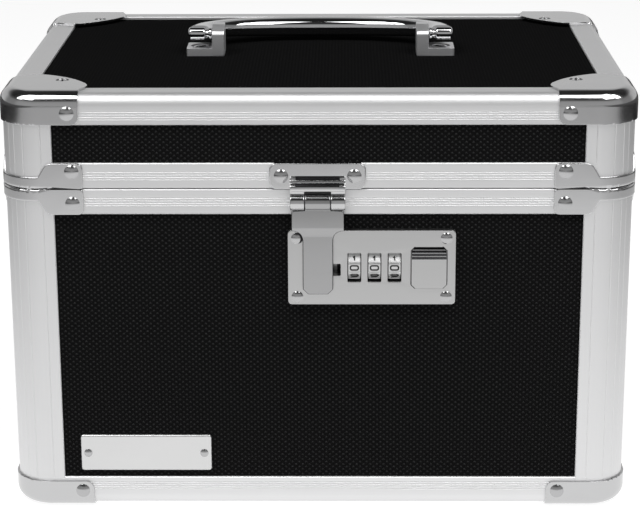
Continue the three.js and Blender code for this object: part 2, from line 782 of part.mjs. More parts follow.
// A number wheel: ten faces with a notch between each two, bored for the axle.
function dialWheel(x) {
  const points = [];
  const turn = (2 * Math.PI) / digits_per_dial;
  for (let i = 0; i < digits_per_dial; i++) {
    for (const [share, radius] of [
      [notch_share, dial_radius], [1 - notch_share, dial_radius], [1, dial_radius - dial_notch_depth],
    ]) {
      const angle = (i + share + 1 / 2) * turn;
      points.push([radius * Math.cos(angle), radius * Math.sin(angle)]);
    }
  }
  const rim = across(
    outline(points.map(([y, z]) => [dial_axis_y + y, lock_centre_z + z])),
    x - dial_width / 2, x + dial_width / 2,
  );
  const bore_radius = dial_axle_radius + running_gap;
  return cut(rim, rod(x - dial_width, x + dial_width, dial_axis_y, lock_centre_z, bore_radius));
}

// Push button: a chamfered cap with a scooped top edge, a flange behind the plate, and a wedge that
// drives the bolt aside as it goes in.
function pushButton() {
  const face = lock_face_y - button_proud;
  const cap = facing(
    chamferedRectangle(button_centre_x, lock_centre_z, button_width, button_height, button_chamfer),
    face, lock_back_y + running_gap,
  );
  const top = lock_centre_z + button_height / 2;
  const scoop = across(
    outline([
      [face - overrun, top + overrun], [face - overrun, top - button_scoop],
      [face, top - button_scoop], [lock_face_y, top - button_chamfer], [lock_face_y, top + overrun],
    ]),
    button_centre_x - button_width, button_centre_x + button_width,
  );
  const rim_a = button_width / 2 + button_flange_lip;
  const rim_b = button_height / 2 + button_flange_lip;
  const rim = facing(
    rectangle(
      button_centre_x - rim_a, button_centre_x + rim_a, lock_centre_z - rim_b, lock_centre_z + rim_b,
    ),
    lock_back_y + running_gap, button_back_y,
  );
  const reach = bolt_y1 - running_gap - button_back_y;
  const wedge = upright(
    outline([
      [wedge_tip_x - bolt_end_width, button_back_y], [wedge_tip_x + reach, button_back_y],
      [wedge_tip_x, button_back_y + reach], [wedge_tip_x - bolt_end_width, button_back_y + reach],
    ]),
    wedge_low_z, wedge_high_z,
  );
  return joined(cut(cap, scoop), rim, wedge);
}

// Bolt: a bar under the dials, a nose beside the staple at one end and a ramped end beside the wedge.
function lockBolt() {
  const nose_z0 = bolt_nose_z - bolt_nose_height / 2;
  const nose_z1 = nose_z0 + bolt_nose_height;
  const bar = facing(rectangle(bolt_arm_x0, bolt_end_x, bolt_z0, bolt_z1), bolt_y0, bolt_y1);
  const arm = facing(rectangle(bolt_arm_x0, bolt_arm_x1, bolt_z0, nose_z1), bolt_y0, bolt_y1);
  const nose = facing(rectangle(bolt_tip_x, bolt_arm_x1, nose_z0, nose_z1), bolt_y0, bolt_y1);
  const end = upright(
    outline([
      [ramp_x + bolt_thickness, bolt_y0], [bolt_end_x, bolt_y0], [bolt_end_x, bolt_y1], [ramp_x, bolt_y1],
    ]),
    bolt_z0, wedge_high_z,
  );
  return joined(bar, arm, nose, end);
}

// Hasp: the leaf hangs from the bracket's knuckles; the staple on its back is bent round the hasp's axis,
// so that it swings out of the catch slot along its own arc.
function haspBracket() {
  const low = lid_low;
  const plate = facing(
    chamferedRectangle(
      hasp_centre_x, low + hasp_plate_height / 2, hasp_plate_width, hasp_plate_height, hasp_plate_chamfer,
    ),
    front_y - hasp_plate_thickness, front_y,
  );
  const x0 = hasp_centre_x - hasp_barrel_width / 2;
  const x1 = hasp_centre_x + hasp_barrel_width / 2;
  const face = front_y - hasp_plate_thickness / 2;
  const out = hasp_axis_y - hasp_barrel_radius;
  const web = across(
    outline([
      [face, low + hasp_plate_height / 2],
      [out + hasp_plate_thickness / 2, hasp_axis_z + hasp_barrel_radius / 2],
      [hasp_axis_y, hasp_axis_z],
      [hasp_axis_y + hasp_plate_thickness / 2, hasp_axis_z + hasp_barrel_radius * hasp_web_share],
      [face, low + hasp_plate_thickness],
    ]),
    x0, x1,
  );
  const barrel = rod(x0, x1, hasp_axis_y, hasp_axis_z, hasp_barrel_radius);
  const bore = rod(x0 - overrun, x1 + overrun, hasp_axis_y, hasp_axis_z, hasp_pin_radius + running_gap / 2);
  const gap_x0 = hasp_centre_x - hasp_knuckle_width / 2 - running_gap;
  const gap_x1 = hasp_centre_x + hasp_knuckle_width / 2 + running_gap;
  const room = hasp_barrel_radius + running_gap;
  const gap = joined(
    rod(gap_x0, gap_x1, hasp_axis_y, hasp_axis_z, room / Math.cos(Math.PI / round_sides)),
    block(gap_x0, gap_x1, hasp_axis_y - room, front_y, hasp_axis_z - room, hasp_axis_z),
  );
  const rivets = [-1, 1].map((side) =>
    frontRivet(
      hasp_centre_x + (side * hasp_rivet_spacing) / 2, front_y - hasp_plate_thickness, low + hasp_rivet_rise,
    ),
  );
  return joined(cut(joined(plate, web, barrel), gap, bore), ...rivets);
}

function haspLeaf() {
  const top = hasp_axis_z - hasp_barrel_radius - running_gap;
  const wide = leaf_wide / 2;
  const narrow = leaf_narrow / 2;
  const neck = hasp_knuckle_width / 2;
  const x = hasp_centre_x;
  const r = Math.min(leaf_shoulder_radius, wide - narrow);
  const shoulder = (from, to) => arcPoints(-narrow - r, leaf_shoulder_z - r, r, from, to, edge_steps);
  const left = [
    [-neck, hasp_axis_z], [-neck, top], [-wide, top], [-wide, leaf_shoulder_z],
    ...shoulder(Math.PI / 2, 0), [-narrow, leaf_foot_z + leaf_chamfer], [leaf_chamfer - narrow, leaf_foot_z],
  ];
  const right = left.map(([a, z]) => [-a, z]).reverse();
  const shape = outline([...left, ...right].map(([a, z]) => [x + a, z]));
  const plate = facing(shape, leaf_back_y - leaf_thickness, leaf_back_y);
  const knuckle = rod(x - neck, x + neck, hasp_axis_y, hasp_axis_z, hasp_barrel_radius);
  const bore = rod(x - wide, x + wide, hasp_axis_y, hasp_axis_z, hasp_pin_radius + running_gap / 2);
  const turnAt = (y) => Math.asin((y - hasp_axis_y) / staple_radius) - Math.PI / 2;
  const from = turnAt(leaf_back_y - leaf_thickness / 2);
  const to = turnAt(staple_tip_y);
  const bend = (radius, a, b) => arcPoints(hasp_axis_y, hasp_axis_z, radius, a, b);
  const staple = across(
    outline([
      ...bend(staple_radius + staple_height / 2, from, to),
      ...bend(staple_radius - staple_height / 2, to, from),
    ]),
    staple_x0, staple_x1,
  );
  const notch = block(
    staple_x1 - staple_notch_depth, staple_x1 + overrun, bolt_y1 + running_gap - staple_notch_length,
    bolt_y1 + running_gap, leaf_foot_z, hasp_axis_z,
  );
  return joined(cut(joined(plate, knuckle), bore), cut(staple, notch));
}

function haspPin() {
  const x0 = hasp_centre_x - hasp_barrel_width / 2 - running_gap;
  const x1 = hasp_centre_x + hasp_barrel_width / 2 + running_gap;
  const shank = rod(x0, x1, hasp_axis_y, hasp_axis_z, hasp_pin_radius);
  const head_radius = hasp_barrel_radius - hasp_pin_radius / 2;
  const heads = [[x0 - hasp_pin_head, x0], [x1, x1 + hasp_pin_head]].map(([a, b]) =>
    rod(a, b, hasp_axis_y, hasp_axis_z, head_radius),
  );
  return joined(shank, ...heads);
}

// Handle: a bail whose thickness swells from its arms to the crown, ended by barrels with pivot pins.
function bail() {
  const half = new THREE.CubicBezierCurve(
    new THREE.Vector2(handle_arm_x, 0),
    new THREE.Vector2(handle_arm_x, handle_reach * arm_control_share),
    new THREE.Vector2(handle_arm_x * crown_control_share, handle_reach),
    new THREE.Vector2(0, handle_reach),
  );
  const rings = [];
  for (let i = 0; i <= grip_steps; i++) {
    const share = 1 - Math.abs(1 - (2 * i) / grip_steps);
    const side = i <= grip_steps / 2 ? 1 : -1;
    const point = half.getPoint(share);
    const along = half.getTangent(share);
    const swell = Math.sin((share * Math.PI) / 2);
    const wide = arm_half_width + (grip_half_width - arm_half_width) * swell;
    const thick = arm_half_thickness + (grip_half_thickness - arm_half_thickness) * swell;
    const ring = [];
    for (let j = 0; j < grip_sides; j++) {
      const angle = (2 * Math.PI * j) / grip_sides;
      const out = wide * Math.cos(angle);
      ring.push([
        side * (point.x + out * along.y), point.y - out * along.x, thick * Math.sin(angle),
      ]);
    }
    rings.push(ring);
  }
  const arms = loft(rings);
  const inner = handle_arm_x - handle_barrel_width / 2;
  const post_out = inner - running_gap;
  const post_in = post_out - bracket_post_width;
  const ends = [-1, 1].flatMap((side) => {
    const span = (a, b) => [Math.min(side * a, side * b), Math.max(side * a, side * b)];
    return [
      rod(...span(inner, inner + handle_barrel_width), 0, 0, handle_barrel_radius),
      rod(...span(post_in + running_gap, inner + overrun), 0, 0, handle_pin_radius),
    ];
  });
  return joined(arms, ...ends);
}

// Bracket at +X: a foot on the lid and a post that takes the pivot pin.
function handleBracket() {
  const post_out = handle_arm_x - handle_barrel_width / 2 - running_gap;
  const post_in = post_out - bracket_post_width;
  const y0 = handle_pivot_y - bracket_depth / 2;
  const foot = block(
    post_in, post_in + bracket_width, y0, y0 + bracket_depth, panel_top_z, panel_top_z + bracket_foot,
  );
  const post = across(
    roundedRectangle(
      handle_pivot_y, panel_top_z + bracket_post_height / 2, bracket_post_depth, bracket_post_height,
      bracket_post_radius,
    ),
    post_in, post_out,
  );
  const root = block(
    post_in, post_out, handle_pivot_y - bracket_post_depth / 2, handle_pivot_y + bracket_post_depth / 2,
    panel_top_z, panel_top_z + bracket_post_height / 2,
  );
  const bore = rod(
    post_in - overrun, post_out + overrun, handle_pivot_y, handle_pivot_z, handle_pin_radius + running_gap,
  );
  return cut(joined(foot, post, root), bore);
}

// Stop hinge at +X: the base leaf has the outer knuckles, the lid leaf the middle one with a stop lug.
const hinge_x = half_width - rim_cap_leg - hinge_cap_gap - hinge_width / 2;

function hingeLeaf(towards) {
  const near = towards * (hinge_barrel_radius + running_gap);
  const far = towards * hinge_plate_height;
  const centre = hinge_axis_z + (near + far) / 2;
  const plate = facing(
    chamferedRectangle(hinge_x, centre, hinge_width, hinge_plate_height - Math.abs(near), hinge_chamfer),
    back_y, back_y + hinge_plate_thickness,
  );
  const rivets = [-1, 1].map((side) =>
    backRivet(
      hinge_x + (side * hinge_rivet_spacing) / 2, back_y + hinge_plate_thickness, centre, hinge_rivet_radius,
    ),
  );
  const neck = [centre, hinge_axis_z + seam_gap * towards];
  const spans = towards > 0
    ? [[hinge_x - hinge_centre_knuckle / 2, hinge_x + hinge_centre_knuckle / 2]]
    : [
      [hinge_x - hinge_width / 2 + hinge_chamfer, hinge_x - hinge_centre_knuckle / 2 - running_gap],
      [hinge_x + hinge_centre_knuckle / 2 + running_gap, hinge_x + hinge_width / 2 - hinge_chamfer],
    ];
  const knuckles = spans.flatMap(([a, b]) => [
    rod(a, b, hinge_axis_y, hinge_axis_z, hinge_barrel_radius),
    block(a, b, back_y, back_y + hinge_plate_thickness, Math.min(...neck), Math.max(...neck)),
  ]);
  const [span] = spans;
  const lug = block(
    span[0], span[1], hinge_axis_y, hinge_axis_y + hinge_stop_reach,
    hinge_axis_z - hinge_stop_thickness / 2, hinge_axis_z + hinge_stop_thickness / 2,
  );
  const bore = rod(
    hinge_x - hinge_width, hinge_x + hinge_width,
    hinge_axis_y, hinge_axis_z, hinge_pin_radius + running_gap / 2,
  );
  const body = joined(plate, ...knuckles, ...rivets, ...(towards > 0 ? [lug] : []));
  return cut(body, bore);
}

const hingePin = () =>
  rod(hinge_x - hinge_width / 2, hinge_x + hinge_width / 2, hinge_axis_y, hinge_axis_z, hinge_pin_radius);

function addPair(group, stem, solid, material) {
  for (const [side, mirror] of [["left", -1], ["right", 1]]) {
    const mesh = addPiece(group, `${stem}_${side}`, solid, material);
    mesh.scale.x = mirror;
  }
}

// Nameplate: a bare plate held by a pin at each end.
function namePlate() {
  const left = post_leg + nameplate_post_gap - half_width;
  const right = left + nameplate_width;
  const face = front_y + extrusion_wall - nameplate_thickness;
  const plate = facing(
    roundedRectangle(
      (left + right) / 2, nameplate_rise, nameplate_width, nameplate_height, nameplate_corner,
    ),
    face, front_y + extrusion_wall,
  );
  const pins = [left + nameplate_pin_in, right - nameplate_pin_in].map((x) =>
    frontRivet(x, face, nameplate_rise, nameplate_pin_radius),
  );
  return joined(plate, ...pins);
}

// Base
const base = new THREE.Group();
const lock_cut_out = block(
  lock_x0 - running_gap, lock_x1 + running_gap, front_y - overrun, front_y + lining_inner + overrun,
  lock_z0 - running_gap, lock_z1 + running_gap,
);
const base_panel_z0 = frame_bottom + edge_radius;
const floor_top = frame_bottom + extrusion_wall + panel_thickness;
addPanels(base, "base", base_panel_z0, seam_height - rim_web, lock_cut_out);
addPiece(base, "base_floor_panel", flatPanel(frame_bottom + extrusion_wall, floor_top), laminate);
addPiece(base, "base_lining", cut(lining(floor_top, seam_height), lock_cut_out), felt);
addPiece(base, "base_bottom_frame", frameOf(edgeSection(frame_bottom, -1)), aluminium);
addPiece(base, "base_rim_frame", frameOf(baseRimSection()), aluminium);
addAtCorners(base, "base_post", cornerPost(frame_bottom + flange, seam_height - rim_height), aluminium);
addAtCorners(
  base, "base_bottom_corner",
  edgeCap(frame_bottom, -1, bottom_cap_leg, bottom_cap_rise, bottom_rivet_in, bottom_rivet_rise), chrome,
);
addAtCorners(base, "base_rim_corner", rimCap(seam_height, -1, base_rim_rivet_drop), chrome);
addPiece(base, "lock_plate", lockPlate(), satin_nickel);
addPiece(base, "lock_case", lockHousing(), dark_steel);
["left", "middle", "right"].forEach((place, i) => {
  addPiece(base, `dial_${place}`, dialWheel(dial_xs[i]), satin_nickel);
});
addPiece(base, "release_button", pushButton(), satin_nickel);
addPiece(base, "lock_bolt", lockBolt(), dark_steel);
addPiece(base, "nameplate", namePlate(), satin_nickel);
addPair(base, "hinge_base_leaf", hingeLeaf(-1), chrome);
addPair(base, "hinge_pin", hingePin(), dark_steel);

// Lid
const lid = new THREE.Group();
addPanels(lid, "lid", lid_low + lid_channel, frame_top - edge_radius);
addPiece(lid, "lid_top_panel", flatPanel(panel_top_z - panel_thickness, panel_top_z), laminate);
const lid_lining_z = seam_height + tongue_height + 2 * running_gap;
addPiece(lid, "lid_lining", lining(panel_top_z - panel_thickness, lid_lining_z), felt);
addPiece(lid, "lid_top_frame", frameOf(edgeSection(frame_top, 1)), aluminium);
addPiece(lid, "lid_rim_frame", frameOf(lidRimSection()), aluminium);
addAtCorners(lid, "lid_post", cornerPost(lid_low + rim_height, frame_top - flange), aluminium);
const top_cap = edgeCap(frame_top, 1, cap_leg, cap_drop, top_rivet_in, top_rivet_drop);
addAtCorners(lid, "lid_top_corner", cut(top_cap, lobeScrew(case_height)), chrome);
addAtCorners(lid, "lid_rim_corner", rimCap(lid_low, 1, lid_rim_rivet_rise), chrome);
addPair(lid, "hinge_lid_leaf", hingeLeaf(1), chrome);
addPair(lid, "handle_bracket", handleBracket(), chrome);
addPiece(lid, "hasp_bracket", haspBracket(), chrome);
addPiece(lid, "hasp_pin", haspPin(), dark_steel);

const hasp = new THREE.Group();
addPiece(hasp, "hasp_leaf", haspLeaf(), chrome);

const handle = new THREE.Group();
addPiece(handle, "handle", bail(), polished);
handle.position.set(0, handle_pivot_y, handle_pivot_z);
handle.rotation.x = -handle_tilt;

const part = new THREE.Group();
part.add(base, lid, hasp, handle);

export default part;
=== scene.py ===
import json
import math

import bmesh
import bpy
from bmesh.types import BMFace, BMVert
from bpy.props import FloatProperty, FloatVectorProperty, IntProperty, PointerProperty
from mathutils import Matrix, Vector


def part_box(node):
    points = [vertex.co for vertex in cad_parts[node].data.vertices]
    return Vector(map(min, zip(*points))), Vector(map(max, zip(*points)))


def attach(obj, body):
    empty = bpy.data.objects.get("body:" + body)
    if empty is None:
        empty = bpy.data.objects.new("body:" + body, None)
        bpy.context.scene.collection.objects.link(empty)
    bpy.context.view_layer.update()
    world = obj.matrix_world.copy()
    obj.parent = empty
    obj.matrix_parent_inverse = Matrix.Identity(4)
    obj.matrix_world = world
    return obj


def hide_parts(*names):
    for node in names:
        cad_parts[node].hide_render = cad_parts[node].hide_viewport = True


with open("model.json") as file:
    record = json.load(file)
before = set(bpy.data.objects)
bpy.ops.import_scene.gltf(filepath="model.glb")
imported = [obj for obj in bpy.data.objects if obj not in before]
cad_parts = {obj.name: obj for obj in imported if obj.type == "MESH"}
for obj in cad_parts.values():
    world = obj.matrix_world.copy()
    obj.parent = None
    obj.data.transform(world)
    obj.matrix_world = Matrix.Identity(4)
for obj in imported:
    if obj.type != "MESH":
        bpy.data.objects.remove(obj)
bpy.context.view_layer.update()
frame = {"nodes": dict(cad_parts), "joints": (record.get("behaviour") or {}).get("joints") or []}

bl_info = {
    "name": "Portable lock box",
    "version": (1, 0, 0),
    "blender": (4, 5, 0),
    "location": "3D View > Sidebar > Lock box",
    "description": "Dresses a laminate lock box with extrusions, corner caps, a dial lock and "
                   "a bail",
    "category": "Add Mesh",
}

MM = 0.001
QUARTER = math.pi / 2
FULL = 2 * math.pi
SAME = 1e-6  # places closer than this are one
TINY = 1e-7  # for planes that cut at a place
LEVEL = 1e-3  # radians; faces that meet at less lie in one plane
STEEP = math.radians(60)
UP = Vector((0, 0, 1))
DIALS = ("left", "middle", "right")
SIGN = {"left": -1, "right": 1, "front": -1, "back": 1}
CORNERS = [(end, side) for end in ("front", "back") for side in ("left", "right")]

CAP_RIVET = 2.9 * MM
LOBE_REACH = 37.2 * MM
BUTTON_CHAMFER = 1.6 * MM
CATCH_X, CATCH_Z = 2.9 * MM, 104.2 * MM  # middle of the slot that takes the staple
HASP_BARREL, HASP_BORE = 3.35 * MM, 1.55 * MM
HASP_HALF = 11 * MM  # half the length of the hasp's row of knuckles
HASP_NECK = 5 * MM


# Places read from the frame
def centre_of(node):
    low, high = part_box(node)
    return (low + high) / 2


def size_of(node):
    low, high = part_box(node)
    return high - low


def front_of(node):
    """A node's low and high corners, and the middle of its front in X and Z."""
    low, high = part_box(node)
    return low, high, (low.x + high.x) / 2, (low.z + high.z) / 2


half_width, half_depth, frame_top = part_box("lid_top_frame")[1]
frame_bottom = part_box("base_bottom_frame")[0].z
flange = size_of("base_bottom_frame").z
lid_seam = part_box("lid_rim_frame")[0].z
rim_height = size_of("lid_rim_frame").z
base_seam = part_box("base_rim_frame")[0].z + rim_height
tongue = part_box("base_rim_frame")[1].z - base_seam
lid_panel_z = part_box("lid_top_panel")[1].z
extrusion_wall = frame_top - lid_panel_z
panel_inner = extrusion_wall + size_of("lid_top_panel").z
leg_inner = panel_inner + extrusion_wall
lock_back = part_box("lock_plate")[1].y


# Settings
def length(name, description, millimetres):
    return FloatProperty(
        name=name, description=description, default=millimetres * MM, unit="LENGTH")


def angle(name, description, radians):
    return FloatProperty(name=name, description=description, default=radians, subtype="ANGLE")


def tint(name, description, *colour):
    return FloatVectorProperty(
        name=name, description=description, default=colour, size=3, subtype="COLOR")


class CaseSizes(bpy.types.PropertyGroup):
    """Sizes of the extrusions, the corner caps and their rivets."""

    corner_radius: length("Corner radius", "Radius of the case's upright corners", 15)
    edge_radius: length("Edge radius", "Radius along the top and the bottom edges", 4.9)
    reed_count: IntProperty(
        name="Grooves", description="Grooves in the middle band of an extrusion",
        default=4, min=1)
    reed_pitch: length("Groove pitch", "Distance between two grooves", 1)
    reed_depth: length("Groove depth", "Depth of a groove", 0.24)
    arris: length("Arris", "Rounding where an extrusion ends on a panel", 0.3)
    post_leg: length("Post leg", "Width of a corner post on each face", 21)
    cap_thickness: length("Cap thickness", "Thickness of the pressed corner caps", 1)
    cap_arris: length("Cap arris", "Rounding of the corner caps' edges", 0.36)
    seam_lip: length("Seam lip", "Rounding of the rim caps where they meet round the corner", 0.85)
    rivet_rise: FloatProperty(
        name="Rivet rise", description="Height of a rivet's head as a share of its radius",
        default=0.41, subtype="FACTOR")


class LockSizes(bpy.types.PropertyGroup):
    """Sizes of the lock plate, the dials, the button and the hasp."""

    plate_thickness: length("Plate thickness", "Thickness of the lock plate", 3)
    gap: length("Running gap", "Gap round the dials and the button", 0.3)
    window_height: length("Window height", "Height of a dial's window", 12.2)
    digit_width: length("Number width", "Width of a number on a dial", 3.2)
    digit_height: length("Number height", "Height of a number on a dial", 1.75)
    digit_stroke: length("Number stroke", "Width of a number's stroke", 0.6)
    button_lip: length("Button lip", "How far the button's flange reaches behind the plate", 0.8)
    button_scoop: length("Button scoop", "Height of the stepped, sloping top of the button", 4.6)
    leaf_crank: length("Leaf crank", "How far the hasp leaf stands out above its shoulders", 1.1)
    leaf_lean: length("Leaf lean", "How far the leaf's foot stands out from its shoulders", 0.5)


class FinishColours(bpy.types.PropertyGroup):
    """Colours of the finishes."""

    aluminium: tint("Aluminium", "Satin anodised extrusions", 0.9, 0.9, 0.905)
    chrome: tint("Chrome", "Pressed caps, hasp, rivets and hinges", 0.62, 0.62, 0.625)
    polished: tint("Polished chrome", "The bail and its brackets", 0.66, 0.66, 0.67)
    nickel: tint("Satin nickel", "Lock plate, button, dials, nameplate", 0.57, 0.57, 0.57)
    steel: tint("Dark steel", "Pins and lock housing", 0.2, 0.2, 0.21)
    # painted shade: a near-black colour for the button's sloping steps, the hasp web's slopes and
    # the hasp leaf's cut edges, standing for shade and dark reflections there
    blackened: tint("Blackened steel", "Steps of the button and the hasp", 0.045, 0.045, 0.047)
    laminate: tint("Laminate", "Black laminate of the panels", 0.0055, 0.0055, 0.0056)
    felt: tint("Felt", "Lining of the base and the lid", 0.018, 0.018, 0.02)


class StageSettings(bpy.types.PropertyGroup):
    """Camera, lamps and floor."""

    camera_place: FloatVectorProperty(
        name="Camera", description="Where the camera stands", subtype="TRANSLATION", size=3,
        default=(0.01033, -0.8974, 0.351))
    camera_turn: angle("Turn", "Turn of the camera about the upright", 0.0122)
    camera_tilt: angle("Tilt", "How far the camera looks down", 0.2923)
    camera_roll: angle("Roll", "Roll of the camera", -0.0039)
    focal_length: FloatProperty(
        name="Focal length", description="In millimetres on a sensor 36 mm wide", default=117.4)
    softbox_power: FloatProperty(
        name="Softboxes", description="Power of each front softbox in watts", default=5.5)
    floor_colour: tint("Floor", "Colour of the floor", 0.86, 0.86, 0.86)


# Outlines, as points in two coordinates
def steps_to(end, count):
    return [end * i / count for i in range(count + 1)]


def arc(a, b, radius, start, end, steps):
    """Points of an arc, both ends included."""
    return [(a + radius * math.cos(start + t), b + radius * math.sin(start + t))
            for t in steps_to(end - start, steps)]


def circle(a, b, radius, count):
    return arc(a, b, radius, 0, FULL * (count - 1) / count, count - 1)


def rounded_rectangle(a, b, width, height, radius, steps=5):
    points = []
    for i, (side_a, side_b) in enumerate([(1, 1), (-1, 1), (-1, -1), (1, -1)]):
        points += arc(a + side_a * (width / 2 - radius), b + side_b * (height / 2 - radius), radius,
                      i * QUARTER, (i + 1) * QUARTER, steps)
    return points


def chamfered_rectangle(a, b, width, height, chamfer):
    half_a, half_b = width / 2, height / 2
    first = [(half_a - chamfer, -half_b), (half_a, chamfer - half_b),
             (half_a, half_b - chamfer), (half_a - chamfer, half_b)]
    return [(a + s * x, b + s * z) for s in (1, -1) for x, z in first]


def rectangle(a0, a1, b0, b1):
    return [(a0, b0), (a1, b0), (a1, b1), (a0, b1)]


def ribbon(points, width):
    """Outline of a line of even width along the points, mitred at its turns."""
    sides = ([], [])
    path = [Vector(p) for p in points]
    ways = [(end - start).normalized() for start, end in zip(path, path[1:])]
    for i, here in enumerate(path):
        meeting = ways[max(0, i - 1):i + 1]
        along = sum(meeting, Vector((0, 0))).normalized()
        across = Vector((-along.y, along.x)) * width / 2 / max(0.5, along.dot(meeting[0]))
        for side, sign in zip(sides, (1, -1)):
            side.append(tuple(here + across * sign))
    return sides[0] + sides[1][::-1]


def eased(a, b, c, reach, steps=5):
    """Points of a curve that eases the corner b between a and c."""
    start = b + (a - b).normalized() * reach
    end = b + (c - b).normalized() * reach
    return [start * (1 - t) ** 2 + b * 2 * t * (1 - t) + end * t * t for t in steps_to(1, steps)]


# Meshes
PLANES = {
    "x": lambda a, b, level: (level, a, b),
    "y": lambda a, b, level: (a, level, b),
    "z": lambda a, b, level: (a, b, level),
}
AXES = {"x": Vector((1, 0, 0)), "y": Vector((0, 1, 0)), "z": UP}
RIVET_SLOT = 2  # 0 and 1 are a piece's finish and its edging


def of_kind(kind, made):
    return [g for g in made if isinstance(g, kind)]


def once(items):
    """Each item once, in an order that is the same in every run."""
    return list(dict.fromkeys(items))


def edges_of(verts):
    ring = set(verts)
    return once(e for v in verts for e in v.link_edges if e.other_vert(v) in ring)


def both_ends(test):
    """Accepts an edge whose ends both pass the test."""
    return lambda edge: all(test(v.co) for v in edge.verts)


def chain(bm, points, closed=False):
    """Vertices through the points, joined by edges."""
    verts = [bm.verts.new(p) for p in points]
    for pair in zip(verts, verts[1:] + (verts[:1] if closed else [])):
        bm.edges.new(pair)
    return verts


def run_on(bm, verts, step):
    """Extrudes a chain of vertices by a step and gives the new ones."""
    fresh = of_kind(BMVert, bmesh.ops.extrude_edge_only(bm, edges=edges_of(verts))["geom"])
    bmesh.ops.translate(bm, verts=fresh, vec=step)
    return fresh


def turn_on(bm, verts, centre, axis, turn, steps, merge=False):
    """Spins a chain of vertices about an axis and gives the last ones."""
    return of_kind(BMVert, bmesh.ops.spin(
        bm, geom=list(verts) + edges_of(verts), cent=centre, axis=axis, dvec=(0, 0, 0),
        angle=turn, steps=steps, use_merge=merge, use_normal_flip=False, use_duplicate=False,
    )["geom_last"])


def weld(bm):
    bmesh.ops.remove_doubles(bm, verts=bm.verts[:], dist=SAME)


def bevel(bm, geom, offset, segments, affect="EDGES", clamp=True):
    bmesh.ops.bevel(bm, geom=geom, offset=offset, offset_type="OFFSET", segments=segments,
                    profile=0.5, affect=affect, clamp_overlap=clamp, material=-1)


def soften(bm, offset, segments=2, keep=None, sharper=STEEP, clamp=True):
    """Rounds the sharp edges, or those of them that keep accepts."""
    edges = [e for e in bm.edges
             if e.is_manifold and e.calc_face_angle(0) > sharper and (keep is None or keep(e))]
    if edges:
        bevel(bm, edges, offset, segments, clamp=clamp)


def cut_across(bm, places, axis):
    """Adds a row of edges where each of the planes crosses the mesh."""
    for place in places:
        bmesh.ops.bisect_plane(bm, geom=bm.verts[:] + bm.edges[:] + bm.faces[:], dist=TINY,
                               plane_co=AXES[axis] * place, plane_no=AXES[axis])


def slab(bm, loops, axis, start, end):
    """A flat region inside the first loop, with the others as holes, made thick along an axis."""
    edges = []
    for loop in loops:
        edges += edges_of(chain(bm, [PLANES[axis](a, b, start) for a, b in loop], closed=True))
    faces = of_kind(BMFace, bmesh.ops.triangle_fill(
        bm, edges=edges, use_beauty=True, use_dissolve=False)["geom"])
    made = bmesh.ops.extrude_face_region(bm, geom=faces, use_keep_orig=True)["geom"]
    bmesh.ops.translate(bm, verts=of_kind(BMVert, made), vec=AXES[axis] * (end - start))
    if len(loops) == 1:
        flat = once(e for f in faces + of_kind(BMFace, made) for e in f.edges
                    if len(e.link_faces) == 2 and e.calc_face_angle(0) < LEVEL)
        bmesh.ops.dissolve_edges(bm, edges=flat, use_verts=False)


def lathe(bm, profile, origin, axis, steps=24):
    """Turns a profile of (along, radius) pairs about an axis through the origin."""
    along = Vector(axis).normalized()
    outward = along.orthogonal().normalized()
    verts = chain(bm, [Vector(origin) + along * a + outward * r for a, r in profile])
    turn_on(bm, verts, origin, along, FULL, steps, merge=True)


def rivet(bm, origin, axis, radius):
    """A rivet's head, in its own finish: a dome over a low collar, sunk into what it holds."""
    sink, collar = 0.3 * MM, 0.12
    height = radius * bpy.context.scene.lockbox_case.rivet_rise
    rise = height - collar * height
    ball = (radius ** 2 + rise ** 2) / (2 * rise)
    turns = steps_to(math.asin(radius / ball), 7)[:0:-1]
    before = set(bm.faces)
    lathe(bm, [(-sink, 0), (-sink, radius)]
          + [(height - ball + ball * math.cos(t), ball * math.sin(t)) for t in turns]
          + [(height, 0)], origin, axis)
    for face in bm.faces:
        if face not in before:
            face.material_index = RIVET_SLOT


def take(bm, other):
    """Adds another mesh's faces to this one."""
    mesh = bpy.data.meshes.new("part")
    other.to_mesh(mesh)
    other.free()
    bm.from_mesh(mesh)
    bpy.data.meshes.remove(mesh)


def knuckle(bm, pin, start, end, barrel, bore):
    """A rolled knuckle with rounded ends, bored for the pin."""
    r = 0.35 * MM
    size = end - start
    turns = (math.pi / 6, math.pi / 3)
    profile = [(0, bore), (0, barrel - r)]
    profile += [(r - r * math.cos(t), barrel - r + r * math.sin(t)) for t in turns]
    profile += [(r, barrel), (size - r, barrel)]
    profile += [(size - r + r * math.sin(t), barrel - r + r * math.cos(t)) for t in turns]
    profile += [(size, barrel - r), (size, bore), (0, bore)]
    lathe(bm, profile, (start, pin.y, pin.z), (1, 0, 0), 40)


def to_corner(bm, end, side):
    """Mirrors what was drawn at +X +Y to another corner."""
    bmesh.ops.scale(bm, vec=(SIGN[side], SIGN[end], 1), verts=bm.verts[:])


def finished(bm, name, finish, body, nodes=(), sharp=35, edging=None, is_edge=None):
    """Makes the piece's object, smooth apart from its sharp edges, riding on a body.

    Edging is a second finish, for the faces whose normal and middle is_edge accepts.
    """
    weld(bm)
    bmesh.ops.recalc_face_normals(bm, faces=bm.faces[:])
    for face in bm.faces:
        if face.material_index != RIVET_SLOT:
            edge = edging and is_edge(face.normal, face.calc_center_median())
            face.material_index = 1 if edge else 0
    names = [finish, edging or finish]
    if any(face.material_index == RIVET_SLOT for face in bm.faces):
        names.append("rivet")
    mesh = bpy.data.meshes.new(name)
    bm.to_mesh(mesh)
    bm.free()
    for each in names if edging or len(names) > 2 else names[:1]:
        mesh.materials.append(finishes[each])
    mesh.shade_smooth()
    mesh.set_sharp_from_angle(angle=math.radians(sharp))
    piece = bpy.data.objects.new(name, mesh)
    bpy.context.scene.collection.objects.link(piece)
    piece.modifiers.new("weighted", "WEIGHTED_NORMAL").keep_sharp = True
    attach(piece, body)
    if nodes:
        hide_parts(*nodes)


